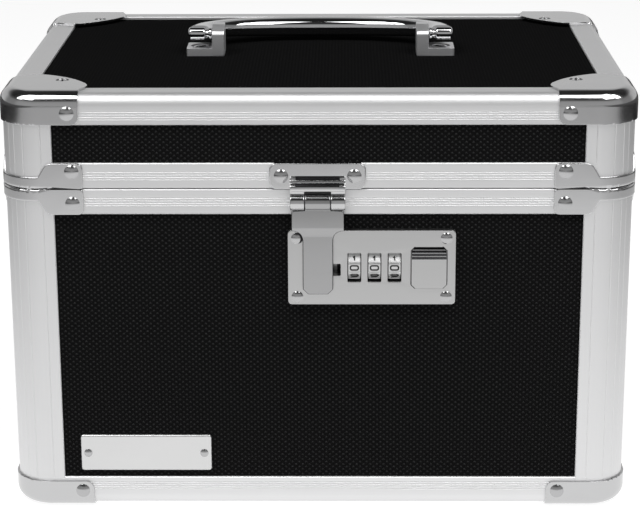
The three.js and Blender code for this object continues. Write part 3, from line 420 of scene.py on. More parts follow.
def beyond_arc(x, y, radius):
    """How far a point lies past the start of the nearest corner's arc, in X and in Y."""
    return abs(x) - (half_width - radius), abs(y) - (half_depth - radius)


def inset_of(x, y, radius):
    """How far a point lies inside the case's rounded plan outline."""
    a, b = beyond_arc(x, y, radius)
    if a > 0 and b > 0:
        return radius - math.hypot(a, b)
    return min(half_width - abs(x), half_depth - abs(y))


def write_grain(bm, along_across):
    """Stores how the drawn lines run: U along the extrusion, V across it."""
    layer = bm.loops.layers.uv.new("grain")
    for face in bm.faces:
        for loop in face.loops:
            loop[layer].uv = along_across(loop.vert.co)


# Finishes
class Nodes:
    """A node tree, with short ways to add and join nodes."""

    def __init__(self, tree):
        self.tree = tree

    def set(self, node, inputs):
        """Gives each of the node's inputs its value, or the output that feeds it."""
        for key, value in inputs.items():
            if isinstance(value, bpy.types.NodeSocket):
                self.tree.links.new(value, node.inputs[key])
            else:
                node.inputs[key].default_value = value

    def add(self, kind, inputs=None, **settings):
        node = self.tree.nodes.new("ShaderNode" + kind)
        for key, value in settings.items():
            setattr(node, key, value)
        self.set(node, inputs or {})
        return node

    def math(self, operation, a, b=0.0, clamp=False):
        return self.add("Math", {0: a, 1: b}, operation=operation, use_clamp=clamp).outputs[0]

    def ramp(self, value, *stops):
        node = self.add("ValToRGB", {0: value})
        elements = node.color_ramp.elements
        while len(elements) < len(stops):
            elements.new(0.5)
        for element, (place, tone) in zip(elements, stops):
            element.position = place
            element.color = (tone, tone, tone, 1)
        return node.outputs[0]

    def between(self, value, low, high):
        """Maps 0 to 1 onto low to high."""
        return self.add("MapRange", {"Value": value, "To Min": low, "To Max": high}).outputs[0]

    def mix(self, share, a, b):
        inputs = {"Factor": share, "A": (*a, 1), "B": (*b, 1)}
        return self.add("Mix", inputs, data_type="RGBA").outputs["Result"]

    def noise(self, vector, scale, detail=2, roughness=0.5):
        return self.add("TexNoise", {"Vector": vector, "Scale": scale, "Detail": detail,
                                     "Roughness": roughness}).outputs["Fac"]

    def stretched(self, vector, scale, rotation=(0, 0, 0)):
        return self.add("Mapping", {"Vector": vector, "Rotation": rotation,
                                    "Scale": scale}).outputs[0]

    def bump(self, height, distance):
        return self.add("Bump", {"Height": height, "Distance": distance}).outputs[0]

    def effect(self, name, inputs):
        return self.add("Group", inputs, node_tree=effects[name]).outputs

    def split(self, coordinates):
        place = self.add("TexCoord").outputs[coordinates]
        return self.add("SeparateXYZ", {0: place}).outputs

    def shade(self, inputs):
        self.set(self.tree.nodes["Principled BSDF"], inputs)


effects = {}
finishes = {}


def new_effect(name, inputs, outputs):
    """A node group whose inputs are values with a default, or a vector where that is None."""
    tree = bpy.data.node_groups.new(name, "ShaderNodeTree")
    for label, default in inputs.items():
        kind = "NodeSocketVector" if default is None else "NodeSocketFloat"
        socket = tree.interface.new_socket(label, in_out="INPUT", socket_type=kind)
        if default is not None:
            socket.default_value = default
    for label in outputs:
        tree.interface.new_socket(label, in_out="OUTPUT", socket_type="NodeSocketFloat")
    effects[name] = tree
    given = tree.nodes.new("NodeGroupInput").outputs
    return Nodes(tree), given, tree.nodes.new("NodeGroupOutput")


def make_drawn_lines():
    """Fine lines left by drawing the metal: long along U, close across V."""
    n, given, out = new_effect("Drawn lines", {"Vector": None, "Pitch": 900.0}, ["Lines"])
    n.set(out, {"Lines": n.noise(n.stretched(given["Vector"], (0.01, 1, 0.01)), given["Pitch"], 3)})


def make_handling():
    """Smudges and hairline scratches from handling: a soft cloud and thin, sparse lines."""
    n, given, out = new_effect(
        "Handling", {"Vector": None, "Cloud size": 60.0, "Scratch size": 260.0},
        ["Cloud", "Scratches"])
    vector = given["Vector"]
    turned = n.stretched(vector, (0.03, 1, 1), (0.5, 0.7, 0.6))
    ridge = n.math("ABSOLUTE", n.math("SUBTRACT", n.noise(turned, given["Scratch size"]), 0.5))
    n.set(out, {"Cloud": n.noise(vector, given["Cloud size"], 4, 0.6),
                "Scratches": n.ramp(ridge, (0.0, 1.0), (0.006, 0.0))})


def make_raised_dots():
    """Staggered rows of low chevrons pressed into the laminate, by two distances in its face."""
    n, given, out = new_effect("Raised dots", {
        "Across": 0.0, "Up": 0.0, "Pitch across": 2.8 * MM, "Pitch up": 2.2 * MM}, ["Height"])
    across, up = (n.math("MULTIPLY", n.math("DIVIDE", given[place], given[pitch]), FULL)
                  for place, pitch in (("Across", "Pitch across"), ("Up", "Pitch up")))
    sway, sunk, slope = 0.45, 0.15, 1.3
    bend = n.math("MULTIPLY", n.math("COSINE", n.math("MULTIPLY", across, 2)), sway)
    both = n.math("MULTIPLY", n.math("COSINE", across),
                  n.math("COSINE", n.math("SUBTRACT", up, bend)))
    top = n.math("MULTIPLY", n.math("SUBTRACT", both, sunk), 1 / (1 - sunk), clamp=True)
    n.set(out, {"Height": n.math("POWER", top, slope)})


def new_finish(name):
    """A material's nodes and the piece's own coordinates."""
    material = finishes[name] = bpy.data.materials.new(name)
    material.use_nodes = True
    n = Nodes(material.node_tree)
    return n, n.add("TexCoord").outputs["Object"]


def metal(name, colour, roughness, spread, streaks, dent, dull, drawn=False):
    """A metal whose gloss and colour change with handling and with the lines left by drawing it.

    Spread is how much the roughness varies, streaks the share that the lines have in it, dent the
    height of the waves in pressed sheet, and dull how much darker the worn patches are. Drawn
    says that the lines follow the piece's own grain map.
    """
    scratch_roughness, scratch_depth, wave_scale = 0.04, -0.008, 70
    n, place = new_finish(name)
    handling = n.effect("Handling", {"Vector": place})
    share = handling["Cloud"]
    if streaks:
        way = n.add("UVMap", uv_map="grain").outputs["UV"] if drawn else place
        lines = n.effect("Drawn lines", {"Vector": way})["Lines"]
        share = n.math("ADD", n.math("MULTIPLY", share, 1 - streaks),
                       n.math("MULTIPLY", lines, streaks))
    height = n.math("MULTIPLY", handling["Scratches"], scratch_depth)
    if dent:
        wave = n.noise(place, wave_scale, 1)
        height = n.math("ADD", height, n.math("MULTIPLY", wave, dent))
    worn = [c * (1 - dull) for c in colour]
    n.shade({
        "Metallic": 1,
        "Base Color": n.mix(share, worn, colour) if dull else (*colour, 1),
        "Roughness": n.math("ADD", n.between(share, roughness - spread, roughness + spread),
                            n.math("MULTIPLY", handling["Scratches"], scratch_roughness)),
        "Normal": n.bump(height, 0.1 * MM),
    })


def laminate(name, colour, across, up, specular, relief, dots_tone_and_highlight):
    """Black laminate with pressed dots that are lighter than the ground, partly their pattern and
    partly a painted highlight on their raised tops; across and up name the coordinates in its face.
    """
    grit_scale, grit_height = 1300, 0.12
    n, place = new_finish(name)
    axes = n.split("Object")
    dots = n.effect("Raised dots", {"Across": axes[across], "Up": axes[up]})["Height"]
    grit = n.noise(place, grit_scale)
    cloud = n.effect("Handling", {"Vector": place})["Cloud"]
    # The dots' lighter colour is partly pattern and partly a painted highlight on their raised
    # tops.
    share = n.math("MULTIPLY", dots, n.between(grit, 0.3, 1.5))
    n.shade({
        "Specular IOR Level": specular,
        "Base Color": n.mix(share, colour, [c * dots_tone_and_highlight for c in colour]),
        "Roughness": n.between(cloud, 0.5, 0.65),
        "Normal": n.bump(n.math("ADD", dots, n.math("MULTIPLY", grit, grit_height)), relief * MM),
    })


def felt(colour):
    lighter, pile = 2.2, 0.4 * MM
    n, place = new_finish("felt")
    fibres = n.noise(place, 900, 6, 0.75)
    n.shade({
        "Roughness": 0.95, "Specular IOR Level": 0.1, "Sheen Weight": 0.25,
        "Base Color": n.mix(fibres, colour, [c * lighter for c in colour]),
        "Normal": n.bump(fibres, pile),
    })


def ink():
    n, place = new_finish("ink")
    cloud = n.effect("Handling", {"Vector": place, "Cloud size": 900})["Cloud"]
    n.shade({"Base Color": n.mix(cloud, (0.004,) * 3, (0.012,) * 3),
             "Roughness": n.between(cloud, 0.35, 0.6)})


def make_finishes(colours):
    make_drawn_lines()
    make_handling()
    make_raised_dots()
    # Name, colour and its share, roughness and its spread, streaks, dent, dull
    for name, source, share, *look in (
        ("aluminium", "aluminium", 1, 0.5, 0.05, 0.5, 0, 0.07),
        ("chrome", "chrome", 1, 0.13, 0.03, 0, 0.5, 0.05),
        # leaf: chrome darkened to 0.68 of its colour, painted shade that gives the hasp leaf the
        # darker tone of what it mirrors
        ("leaf", "chrome", 0.68, 0.16, 0.03, 0, 0.3, 0.05),
        ("rivet", "chrome", 0.85, 0.18, 0.03, 0, 0, 0.05),
        ("polished", "polished", 1, 0.06, 0.02, 0, 0, 0),
        ("satin", "polished", 1.25, 0.42, 0.05, 0, 0, 0.05),
        ("nickel", "nickel", 1, 0.3, 0.05, 0.4, 0, 0.06),
        ("bright_nickel", "nickel", 1.35, 0.36, 0.04, 0.3, 0, 0.05),
        ("nameplate", "nickel", 1.45, 0.32, 0.06, 0.6, 0, 0.16),
        # painted shade: the near-black metal that stands for shade and dark reflections on the
        # button, the hasp web and the leaf's edges
        ("blackened", "blackened", 1, 0.24, 0.05, 0, 0, 0.2),
        ("steel", "steel", 1, 0.42, 0.08, 0, 0, 0.3),
    ):
        colour = [c * share for c in getattr(colours, source)]
        metal(name, colour, *look, drawn=name == "aluminium")
    # Name, the two coordinates in the face, gloss, relief in millimetres, tone of the dots, which
    # holds their painted highlight and is lower on the top panel as painted shade
    for name, *look in (
        ("laminate_front", "X", "Z", 0.03, 0.16, 6.5),
        ("laminate_side", "Y", "Z", 0.03, 0.16, 6.5),
        ("laminate_top", "X", "Y", 0.0, 0.06, 2.8),
    ):
        laminate(name, colours.laminate, *look)
    felt(colours.felt)
    ink()


# Extrusions
def reeded(start, end, sizes):
    """Points across the grooved middle of an extrusion's face: places along it and depths."""
    middle = (start + end) / 2
    step = 1 if end > start else -1
    reach = (sizes.reed_count - 1) / 2
    half = sizes.reed_pitch * 0.2
    shoulder = 0.25 * sizes.reed_depth
    edge = 2 * half + sizes.reed_pitch * 0.35
    points = [(middle - step * (reach * sizes.reed_pitch + edge), 0)]
    for i in range(sizes.reed_count):
        at = middle + step * (i - reach) * sizes.reed_pitch
        points += [(at - step * half, shoulder), (at, sizes.reed_depth),
                   (at + step * half, shoulder)]
        if i < sizes.reed_count - 1:
            points.append((at + step * sizes.reed_pitch / 2, 0))
    return points + [(middle + step * (reach * sizes.reed_pitch + edge), 0)]


def grooved_face(height, end, sizes):
    """An extrusion's outer face from where it ends on the panel, as insets and heights."""
    r = sizes.arris
    return [(r, height), (0, height - r)] + [
        (deep, along) for along, deep in reeded(height, end, sizes)]


def edge_section(level, towards, sizes):
    """Angle extrusion of the top or the bottom edge, as insets and heights."""
    wall, radius, r = extrusion_wall, sizes.edge_radius, sizes.arris
    points = grooved_face(flange, radius, sizes)
    points += [(radius - radius * math.sin(t), radius - radius * math.cos(t))
               for t in reversed(steps_to(QUARTER, 8))]
    points += [(flange - r, 0), (flange, r), (flange, wall), (radius, wall), (wall, radius),
               (wall, flange)]
    return [(inset, level - towards * height) for inset, height in points]


def rim_section(shell, sizes):
    """Rim extrusion of the base, with its tongue, or of the lid, with the step for it."""
    wall, r = extrusion_wall, sizes.arris
    leg = 8 * MM
    points = grooved_face(rim_height, 0, sizes) + [(0, r), (r, 0)]
    if shell == "lid":
        gap = 0.3 * MM
        step = tongue + gap - (lid_seam - base_seam)
        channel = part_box("lid_front_panel")[0].z - lid_seam
        points += [(panel_inner - gap, 0), (panel_inner - gap, step), (leg_inner, step)]
        level, towards = lid_seam, 1
    else:
        channel = base_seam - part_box("base_front_panel")[1].z
        points += [(panel_inner, 0), (panel_inner, -tongue + r), (panel_inner + r, -tongue),
                   (leg_inner - r, -tongue), (leg_inner, -tongue + r)]
        level, towards = base_seam, -1
    points += [(leg_inner, leg), (panel_inner, leg), (panel_inner, channel), (wall, channel),
               (wall, rim_height)]
    return [(inset, level + towards * height) for inset, height in points]


def carried_round(section, radius):
    """The section carried once round the case's plan outline."""
    bm = bmesh.new()
    run_x, run_y = half_width - radius, half_depth - radius
    verts = chain(bm, [(-run_x, inset - half_depth, z) for inset, z in section], closed=True)
    for step, centre in (
        ((2 * run_x, 0, 0), (run_x, -run_y, 0)), ((0, 2 * run_y, 0), (run_x, run_y, 0)),
        ((-2 * run_x, 0, 0), (-run_x, run_y, 0)), ((0, -2 * run_y, 0), (-run_x, -run_y, 0)),
    ):
        verts = turn_on(bm, run_on(bm, verts, step), centre, UP, QUARTER, 10)
    weld(bm)
    write_grain(bm, lambda co: (co.x + co.y, inset_of(co.x, co.y, radius) - co.z))
    return bm


class LOCKBOX_OT_extrusions(bpy.types.Operator):
    """Make the four extrusions that run round the case."""

    bl_idname = "lockbox.extrusions"
    bl_label = "Edge and rim extrusions"

    def execute(self, context):
        sizes = context.scene.lockbox_case
        for name, body, section in (
            ("base_bottom_frame", "base", edge_section(frame_bottom, -1, sizes)),
            ("base_rim_frame", "base", rim_section("base", sizes)),
            ("lid_rim_frame", "lid", rim_section("lid", sizes)),
            ("lid_top_frame", "lid", edge_section(frame_top, 1, sizes)),
        ):
            finished(carried_round(section, sizes.corner_radius), name + "_drawn", "aluminium",
                     body, [name], sharp=28)
        return {"FINISHED"}


def post_skin(sizes):
    """Outline of a post's outer wall at +X +Y: a grooved face over a plain back."""
    proud, groove, half = 0.05 * MM, 0.16 * MM, 0.28 * MM
    leg_groove = 16.5 * MM
    radius = sizes.corner_radius + proud
    centre = (half_width - sizes.corner_radius, half_depth - sizes.corner_radius)
    leg, r, wall = sizes.post_leg, sizes.arris, extrusion_wall
    half_turn = half / radius
    grooves = [QUARTER * share for share in (0.25, 0.43, 0.57, 0.75)]
    turns = [(t, 0) for t in steps_to(QUARTER, 16)
             if all(abs(t - g) > 1.3 * half_turn for g in grooves)]
    for g in grooves:
        turns += [(g - half_turn, 0), (g, groove), (g + half_turn, 0)]
    side, top = half_width + proud, half_depth + proud
    flat = [(leg_groove + half, 0), (leg_groove, groove), (leg_groove - half, 0)]
    points = [(side - leg, top - r), (side - leg + r, top)]
    points += [(side - along, top - deep) for along, deep in flat]
    points += [(centre[0] + (radius - deep) * math.cos(t),
                centre[1] + (radius - deep) * math.sin(t))
               for t, deep in sorted(turns, reverse=True)]
    points += [(side - deep, top - along) for along, deep in reversed(flat)]
    points += [(side, top - leg + r), (side - r, top - leg), (side - wall, top - leg)]
    points += arc(*centre, radius - wall, 0, QUARTER, 8)
    return points + [(side - leg, top - wall)]


def post_core(sizes):
    """Outline of the rest of a post: the web and the inner leg round the panels' channel."""
    radius, leg = sizes.corner_radius, sizes.post_leg
    side, top = half_width, half_depth
    wall = extrusion_wall / 2
    centre = (side - radius, top - radius)
    points = [(side - wall, top - radius), (side - panel_inner, top - radius),
              (side - panel_inner, top - leg), (side - leg_inner, top - leg)]
    points += arc(*centre, radius - leg_inner, 0, QUARTER, 8)
    points += [(side - leg, top - leg_inner), (side - leg, top - panel_inner),
               (side - radius, top - panel_inner), (side - radius, top - wall)]
    return points + arc(*centre, radius - wall, QUARTER, 0, 8)[1:-1]


class LOCKBOX_OT_posts(bpy.types.Operator):
    """Make the eight corner posts, whose skins run on under the corner caps."""

    bl_idname = "lockbox.posts"
    bl_label = "Corner posts"

    def execute(self, context):
        sizes = context.scene.lockbox_case
        radius = sizes.corner_radius
        clear = 0.2 * MM
        tucked = sizes.edge_radius + 0.5 * MM
        spans = {"base": (frame_bottom + tucked, base_seam - clear),
                 "lid": (lid_seam + clear, frame_top - tucked)}

        def along_post(co):
            a, b = beyond_arc(co.x, co.y, radius)
            if a > 0 and b > 0:
                return (co.z, radius * math.atan2(a, b))
            return (co.z, a if b > 0 else radius * QUARTER - b)

        for shell, (start, end) in spans.items():
            for place, side in CORNERS:
                node = f"{shell}_post_{place}_{side}"
                low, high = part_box(node)
                bm = bmesh.new()
                slab(bm, [post_core(sizes)], "z", low.z, high.z)
                slab(bm, [post_skin(sizes)], "z", start, end)
                to_corner(bm, place, side)
                write_grain(bm, along_post)
                finished(bm, node + "_drawn", "aluminium", shell, [node], sharp=28)
        return {"FINISHED"}


# Corner caps, drawn for the corner at +X +Y
def cap_sheet(bm, profile, leg, radius):
    """A profile of (outset, height) carried from one leg's end round the corner to the other's."""
    verts = chain(bm, [(half_width - leg, half_depth + out, z) for out, z in profile])
    straight = leg - radius
    if straight > 0:
        verts = run_on(bm, verts, (straight, 0, 0))
    verts = turn_on(bm, verts, (half_width - radius, half_depth - radius, 0), UP, -QUARTER, 20)
    if straight > 0:
        run_on(bm, verts, (0, -straight, 0))
    weld(bm)


def plan_normal(x, y, radius):
    """Outward direction of the case's plan outline at a point on it, at +X +Y."""
    a, b = x - (half_width - radius), y - (half_depth - radius)
    if a > 0 and b > 0:
        return Vector((a, b, 0)).normalized()
    return AXES["x"] if half_width - x < half_depth - y else AXES["y"]


def thicken(bm, thickness, outward):
    """Gives the sheet its thickness: outward tells which way its outer side faces at a point."""
    made = bmesh.ops.extrude_face_region(bm, geom=bm.faces[:], use_keep_orig=True)["geom"]
    for v in of_kind(BMVert, made):
        v.co -= outward(v.co) * thickness


def leg_rivets(bm, inward, z, out):
    """The rivets of a cap's two legs."""
    rivet(bm, (half_width - inward, half_depth + out, z), (0, 1, 0), CAP_RIVET)
    rivet(bm, (half_width + out, half_depth - inward, z), (1, 0, 0), CAP_RIVET)


def cross_recess_screw(bm, x, y, face, towards, radius):
    """A countersunk screw in a lobe: a sunk ring round a head with a cross-shaped recess."""
    low, head, wide = 1.2 * MM, 0.4 * MM, 0.42 * MM
    core = radius * 0.66
    reach = core * 0.8
    lathe(bm, [(-low, core * 0.9), (-low, radius), (-head - 0.2 * MM, radius),
               (-head, radius * 0.86), (-head, core * 0.9), (-low, core * 0.9)],
          (x, y, face), (0, 0, towards))
    cross = []
    for a, b in ((1, 0), (0, 1), (-1, 0), (0, -1)):
        cross += [(x + a * reach + b * wide, y + b * reach - a * wide),
                  (x + a * reach - b * wide, y + b * reach + a * wide),
                  (x + a * wide - b * wide, y + b * wide + a * wide)]
    disc, base = (circle(x, y, core * share, 24) for share in (1, 0.97))
    slab(bm, [disc, cross], "z", face - towards * low, face - towards * (head - 0.08 * MM))
    slab(bm, [base], "z", face - towards * (low + 0.2 * MM), face - towards * (low - 0.05 * MM))


def edge_cap(level, towards, leg, drop, rivet_in, rivet_drop, sizes, screw=None):
    """Cap of a top or bottom corner: two legs, a rounded edge and a lobe over the panel."""
    bm = bmesh.new()
    grown = sizes.cap_thickness
    face = level + towards * grown
    radius, corner = sizes.edge_radius + grown, sizes.corner_radius
    profile = [(grown, face - towards * drop), (grown, face - towards * radius)]
    profile += [(grown - radius * (1 - math.cos(t)), face - towards * radius * (1 - math.sin(t)))
                for t in steps_to(QUARTER, 8)[1:]]
    cap_sheet(bm, profile, leg, corner)
    rim = [v for v in bm.verts if abs(v.co.z - face) < TINY]
    first = min(rim, key=lambda v: v.co.x)
    last = min(rim, key=lambda v: v.co.y)
    start = math.asin(flange / LOBE_REACH)
    lobe = [Vector((half_width - LOBE_REACH * math.cos(start + t),
                    half_depth - LOBE_REACH * math.sin(start + t), face))
            for t in steps_to(QUARTER - 2 * start, 16)]
    ease, foot_round, row, near = 3.4 * MM, 3.2 * MM, 0.8 * MM, 0.02 * MM
    path = eased(first.co, lobe[0], lobe[2], ease) + lobe[2:-2]
    path += eased(lobe[-3], lobe[-1], last.co, ease)
    loop = [first] + [bm.verts.new(p) for p in path] + [last]
    edges = edges_of(rim) + [bm.edges.new(pair) for pair in zip(loop, loop[1:])]
    if screw:
        x, y = half_width - screw[0], half_depth - screw[0]
        edges += edges_of(chain(bm, [(*p, face) for p in circle(x, y, screw[1], 24)], closed=True))
    bmesh.ops.triangle_fill(bm, edges=once(edges), use_beauty=True, use_dissolve=False)
    ends = [Vector((half_width - leg, half_depth + grown, profile[0][1])),
            Vector((half_width + grown, half_depth - leg, profile[0][1]))]
    feet = [v for v in bm.verts if any((v.co - end).length < near for end in ends)]
    bevel(bm, feet, foot_round, 5, affect="VERTICES")
    # Rows beside the small roundings keep the weighted normals of the flats straight
    cut_across(bm, [face - towards * (drop - row), face - towards * (radius + 0.5 * MM)], "z")
    upright = UP * towards

    def outward(co):
        deep = grown + inset_of(co.x, co.y, corner)
        if deep > radius - TINY:
            return upright
        turn = math.acos(min(1, max(0, (radius - deep) / radius)))
        return plan_normal(co.x, co.y, corner) * math.cos(turn) + upright * math.sin(turn)

    thicken(bm, grown, outward)
    soften(bm, sizes.cap_arris, 3)
    leg_rivets(bm, rivet_in, face - towards * rivet_drop, grown)
    if screw:
        cross_recess_screw(bm, x, y, face, towards, screw[1])
    return bm


def rim_cap(level, towards, rivet_height, sizes):
    """Cap of a rim corner: a band round the corner that widens into two riveted legs."""
    bm = bmesh.new()
    grown, radius = sizes.cap_thickness, sizes.corner_radius
    band, full, leg, lip_end = 4.8 * MM, 18.4 * MM, 33 * MM, 20.7 * MM
    rivet_in, lip_row, row = 28.6 * MM, 1.5 * MM, 0.8 * MM
    cap_sheet(bm, [(grown, level), (grown, level + towards * band)], radius, radius)
    path = [(radius, 0), (radius, band)]
    turns = [Vector(c) for c in ((radius, band), (full, rim_height), (leg, rim_height), (leg, 0),
                                 (lip_end, 0))]
    for i, (reach, steps) in enumerate(((2.2 * MM, 5), (2.4 * MM, 5), (1 * MM, 3))):
        path += eased(*turns[i:i + 3], reach, steps)
    path.append((lip_end, 0))
    for place in (lambda a, z: (half_width - a, half_depth + grown, level + towards * z),
                  lambda a, z: (half_width + grown, half_depth - a, level + towards * z)):
        bm.faces.new([bm.verts.new(place(a, z)) for a, z in path])
    weld(bm)
    bmesh.ops.recalc_face_normals(bm, faces=bm.faces[:])
    cut_across(bm, [level + towards * lip_row, level + towards * (band - row)], "z")
    thicken(bm, grown, lambda co: plan_normal(co.x, co.y, radius))

    def outside(co):
        return inset_of(co.x, co.y, radius) < -0.9 * grown

    def on_corner(co, reach):
        return half_width - co.x < reach and half_depth - co.y < reach

    def on_lip(co):
        return abs(co.z - level) < SAME and outside(co) and on_corner(co, lip_end + SAME)

    def by_lip(edge):
        return any(abs(v.co.z - level) < 1.2 * MM and on_corner(v.co, 22 * MM) for v in edge.verts)

    soften(bm, sizes.seam_lip, 4, both_ends(on_lip), clamp=False)
    soften(bm, sizes.cap_arris, 3, lambda edge: both_ends(outside)(edge) and not by_lip(edge))
    leg_rivets(bm, rivet_in, level + towards * rivet_height, grown)
    return bm


class LOCKBOX_OT_corner_caps(bpy.types.Operator):
    """Make the sixteen pressed corner caps with their rivets."""

    bl_idname = "lockbox.corner_caps"
    bl_label = "Corner caps"

    def execute(self, context):
        sizes = context.scene.lockbox_case
        screw = (23.2 * MM, 2.7 * MM)
        bottom = (frame_bottom, -1, 33 * MM, 11.7 * MM, 28.4 * MM, 7.7 * MM, sizes)
        top = (frame_top, 1, 32 * MM, 13.3 * MM, 27.5 * MM, 8.6 * MM, sizes, screw)
        for stem, body, make, values in (
            ("base_bottom_corner", "base", edge_cap, bottom),
            ("base_rim_corner", "base", rim_cap, (base_seam, -1, 5.7 * MM, sizes)),
            ("lid_rim_corner", "lid", rim_cap, (lid_seam, 1, 7.1 * MM, sizes)),
            ("lid_top_corner", "lid", edge_cap, top),
        ):
            for end, side in CORNERS:
                bm = make(*values)
                to_corner(bm, end, side)
                node = f"{stem}_{end}_{side}"
                finished(bm, node + "_pressed", "chrome", body, [node])
        return {"FINISHED"}


# Lock
# The numbers' lines in a unit square; the rings of 0 and 8 as a rise, a width and a height
STROKES = {
    "1": [[(0.32, 0.72), (0.52, 1), (0.52, 0)]],
    "2": [[(0.02, 0.78), (0.25, 1), (0.75, 1), (0.97, 0.76), (0.03, 0), (1, 0)]],
    "3": [[(0, 1), (0.96, 1), (0.5, 0.58)],
          [(0.4, 0.58), (0.78, 0.58), (0.98, 0.36), (0.76, 0), (0, 0)]],
    "4": [[(0.78, 0), (0.78, 1), (0, 0.3), (1, 0.3)]],
    "5": [[(1, 1), (0.06, 1), (0.06, 0.58), (0.76, 0.58), (0.98, 0.34), (0.76, 0), (0, 0)]],
    "6": [[(0.94, 1), (0.3, 0.96), (0.02, 0.5), (0.02, 0.24), (0.25, 0), (0.75, 0), (0.98, 0.26),
           (0.76, 0.56)], [(0.8, 0.56), (0.1, 0.56)]],
    "7": [[(0, 1), (0.98, 1), (0.36, 0)]],
    "9": [[(0.06, 0), (0.7, 0.04), (0.98, 0.5), (0.98, 0.76), (0.75, 1), (0.25, 1), (0.02, 0.74),
           (0.24, 0.44)], [(0.2, 0.44), (0.9, 0.44)]],
}
RINGS = {"0": [(0, 1, 1)], "8": [(0.26, 0.86, 0.46), (-0.26, 1, 0.5)]}


def moved_along(value, bends):
    """What a bend, as pairs of a place and a move, adds at a place."""
    for (z0, move0), (z1, move1) in zip(bends, bends[1:]):
        if z0 - TINY <= value <= z1 + TINY:
            return move0 + (move1 - move0) * (value - z0) / (z1 - z0)
    return 0


def make_plate(sizes):
    low, high, x, z = front_of("lock_plate")
    width, height = high.x - low.x, high.z - low.z
    back = high.y
    face = back - sizes.plate_thickness
    corner, rim, in_x, in_z = 1.5 * MM, 1.7 * MM, 3.7 * MM, 3.2 * MM
    button = size_of("release_button")
    opening = 2 * (sizes.button_lip - sizes.gap)
    window_width = size_of("dial_left").x + 2 * sizes.gap
    holes = [rounded_rectangle(centre_of("dial_" + place).x, z, window_width,
                               sizes.window_height, 0.5 * MM, 2) for place in DIALS]
    holes.append(chamfered_rectangle(centre_of("release_button").x, z, button.x - opening,
                                     button.z - opening, BUTTON_CHAMFER))
    holes.append(rounded_rectangle(CATCH_X, CATCH_Z, 11.8 * MM, 4.9 * MM, 0.4 * MM, 2))
    bm = bmesh.new()
    slab(bm, [rounded_rectangle(x, z, width, height, corner)] + holes, "y", face, back)

    def on_outline(edge):
        mid = (edge.verts[0].co + edge.verts[1].co) / 2
        outer = abs(mid.x - x) > width / 2 - rim or abs(mid.z - z) > height / 2 - rim
        return outer and abs(mid.y - face) < SAME

    soften(bm, 0.8 * MM, 3, on_outline)
    soften(bm, 0.22 * MM, 2, both_ends(lambda co: abs(co.y - face) < SAME))
    for side_x in (-1, 1):
        for side_z in (-1, 1):
            rivet(bm, (x + side_x * (width / 2 - in_x), face, z + side_z * (height / 2 - in_z)),
                  (0, -1, 0), 2.4 * MM)
    finished(bm, "lock_plate_faced", "nickel", "base", ["lock_plate"])


def make_button(sizes):
    """The button with its stepped scoop, the flange behind the plate and the wedge."""
    low, high, x, _ = front_of("release_button")
    z = front_of("lock_plate")[3]
    face, back = low.y, lock_back + sizes.gap
    half_x, half_z = (side / 2 - sizes.button_lip for side in size_of("release_button").xz)
    top = z + half_z
    knee = top - sizes.button_scoop
    bm = bmesh.new()
    slab(bm, [chamfered_rectangle(x, z, 2 * half_x, 2 * half_z, BUTTON_CHAMFER)], "y", face, back)
    soften(bm, 0.25 * MM, 3, both_ends(lambda co: abs(co.y - face) < SAME))
    steps, ledge = 4, 0.2 * MM
    tread = (back - face - 1 * MM) / steps
    rise = sizes.button_scoop * 0.19
    scoop = [(knee, 0)]
    for i in range(1, steps + 1):
        scoop.append((scoop[-1][0] + rise, i * tread))
        scoop.append((scoop[-1][0] + ledge, i * tread))
    cut_across(bm, [level for level, _ in scoop], "z")
    scoop.append((top + 1 * MM, steps * tread))
    for v in bm.verts:
        if v.co.y < face + 0.3 * MM:
            v.co.y += moved_along(v.co.z, scoop)
    behind = back + 2 * MM
    slab(bm, [rectangle(low.x, high.x, low.z, high.z)], "y", back, behind)
    reach, half = high.y - behind, 3 * MM
    slab(bm, [[(x - half, behind), (x + reach, behind), (x, high.y), (x - half, high.y)]],
         "z", z - half, z + half)
    # The scoop's sloping steps get the near-black edging: painted shade for the dark recess.
    finished(bm, "release_button_faced", "nickel", "button", ["release_button"],
             edging="blackened",
             is_edge=lambda way, at: way.z > 0.5 and at.z > knee and at.y < back)


def make_dial(place, sizes):
    """A number wheel: ten facets between grooves, each with a border and a number."""
    node = "dial_" + place
    low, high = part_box(node)
    centre = (low + high) / 2
    radius = (high.z - low.z) / 2
    facets, axle, ink_lift = 10, 1.4 * MM, 0.02 * MM
    turn = FULL / facets
    outline = []
    for i in range(facets):
        for share, deep in ((0.1, 0), (0.9, 0), (0.95, 0.45), (1.0, 0.6), (1.05, 0.45)):
            t = (i + share + 0.5) * turn
            reach = radius - deep * MM
            outline.append((centre.y + reach * math.cos(t), centre.z + reach * math.sin(t)))
    bm = bmesh.new()
    slab(bm, [outline, circle(centre.y, centre.z, axle, 16)], "x", low.x, high.x)
    soften(bm, 0.12 * MM)
    numbers = bmesh.new()
    face = radius * math.cos(0.8 * turn / 2)
    for i in range(facets):
        turned = Matrix.Translation(centre) @ Matrix.Rotation(-i * turn, 4, "X")
        onto_facet(bm, number_border, turned, face)
        onto_facet(numbers, lambda part: number(part, str(i), sizes), turned, face + ink_lift)
    finished(bm, node + "_faced", "bright_nickel", node, [node])
    finished(numbers, node + "_numbers", "ink", node)


def onto_facet(bm, draw, turned, reach):
    """Draws in the plane of X and Z and moves it onto a facet."""
    before = set(bm.verts)
    draw(bm)
    bmesh.ops.transform(bm, matrix=turned @ Matrix.Translation((0, -reach, 0)),
                        verts=[v for v in bm.verts if v not in before])


def number_border(bm):
    """A low raised border, drawn in the plane of X and Z."""
    slab(bm, [rounded_rectangle(0, 0, 4.5 * MM, 2.8 * MM, 0.6 * MM, 3),
              rounded_rectangle(0, 0, 4.2 * MM, 2.5 * MM, 0.5 * MM, 3)],
         "y", -0.08 * MM, 0.05 * MM)


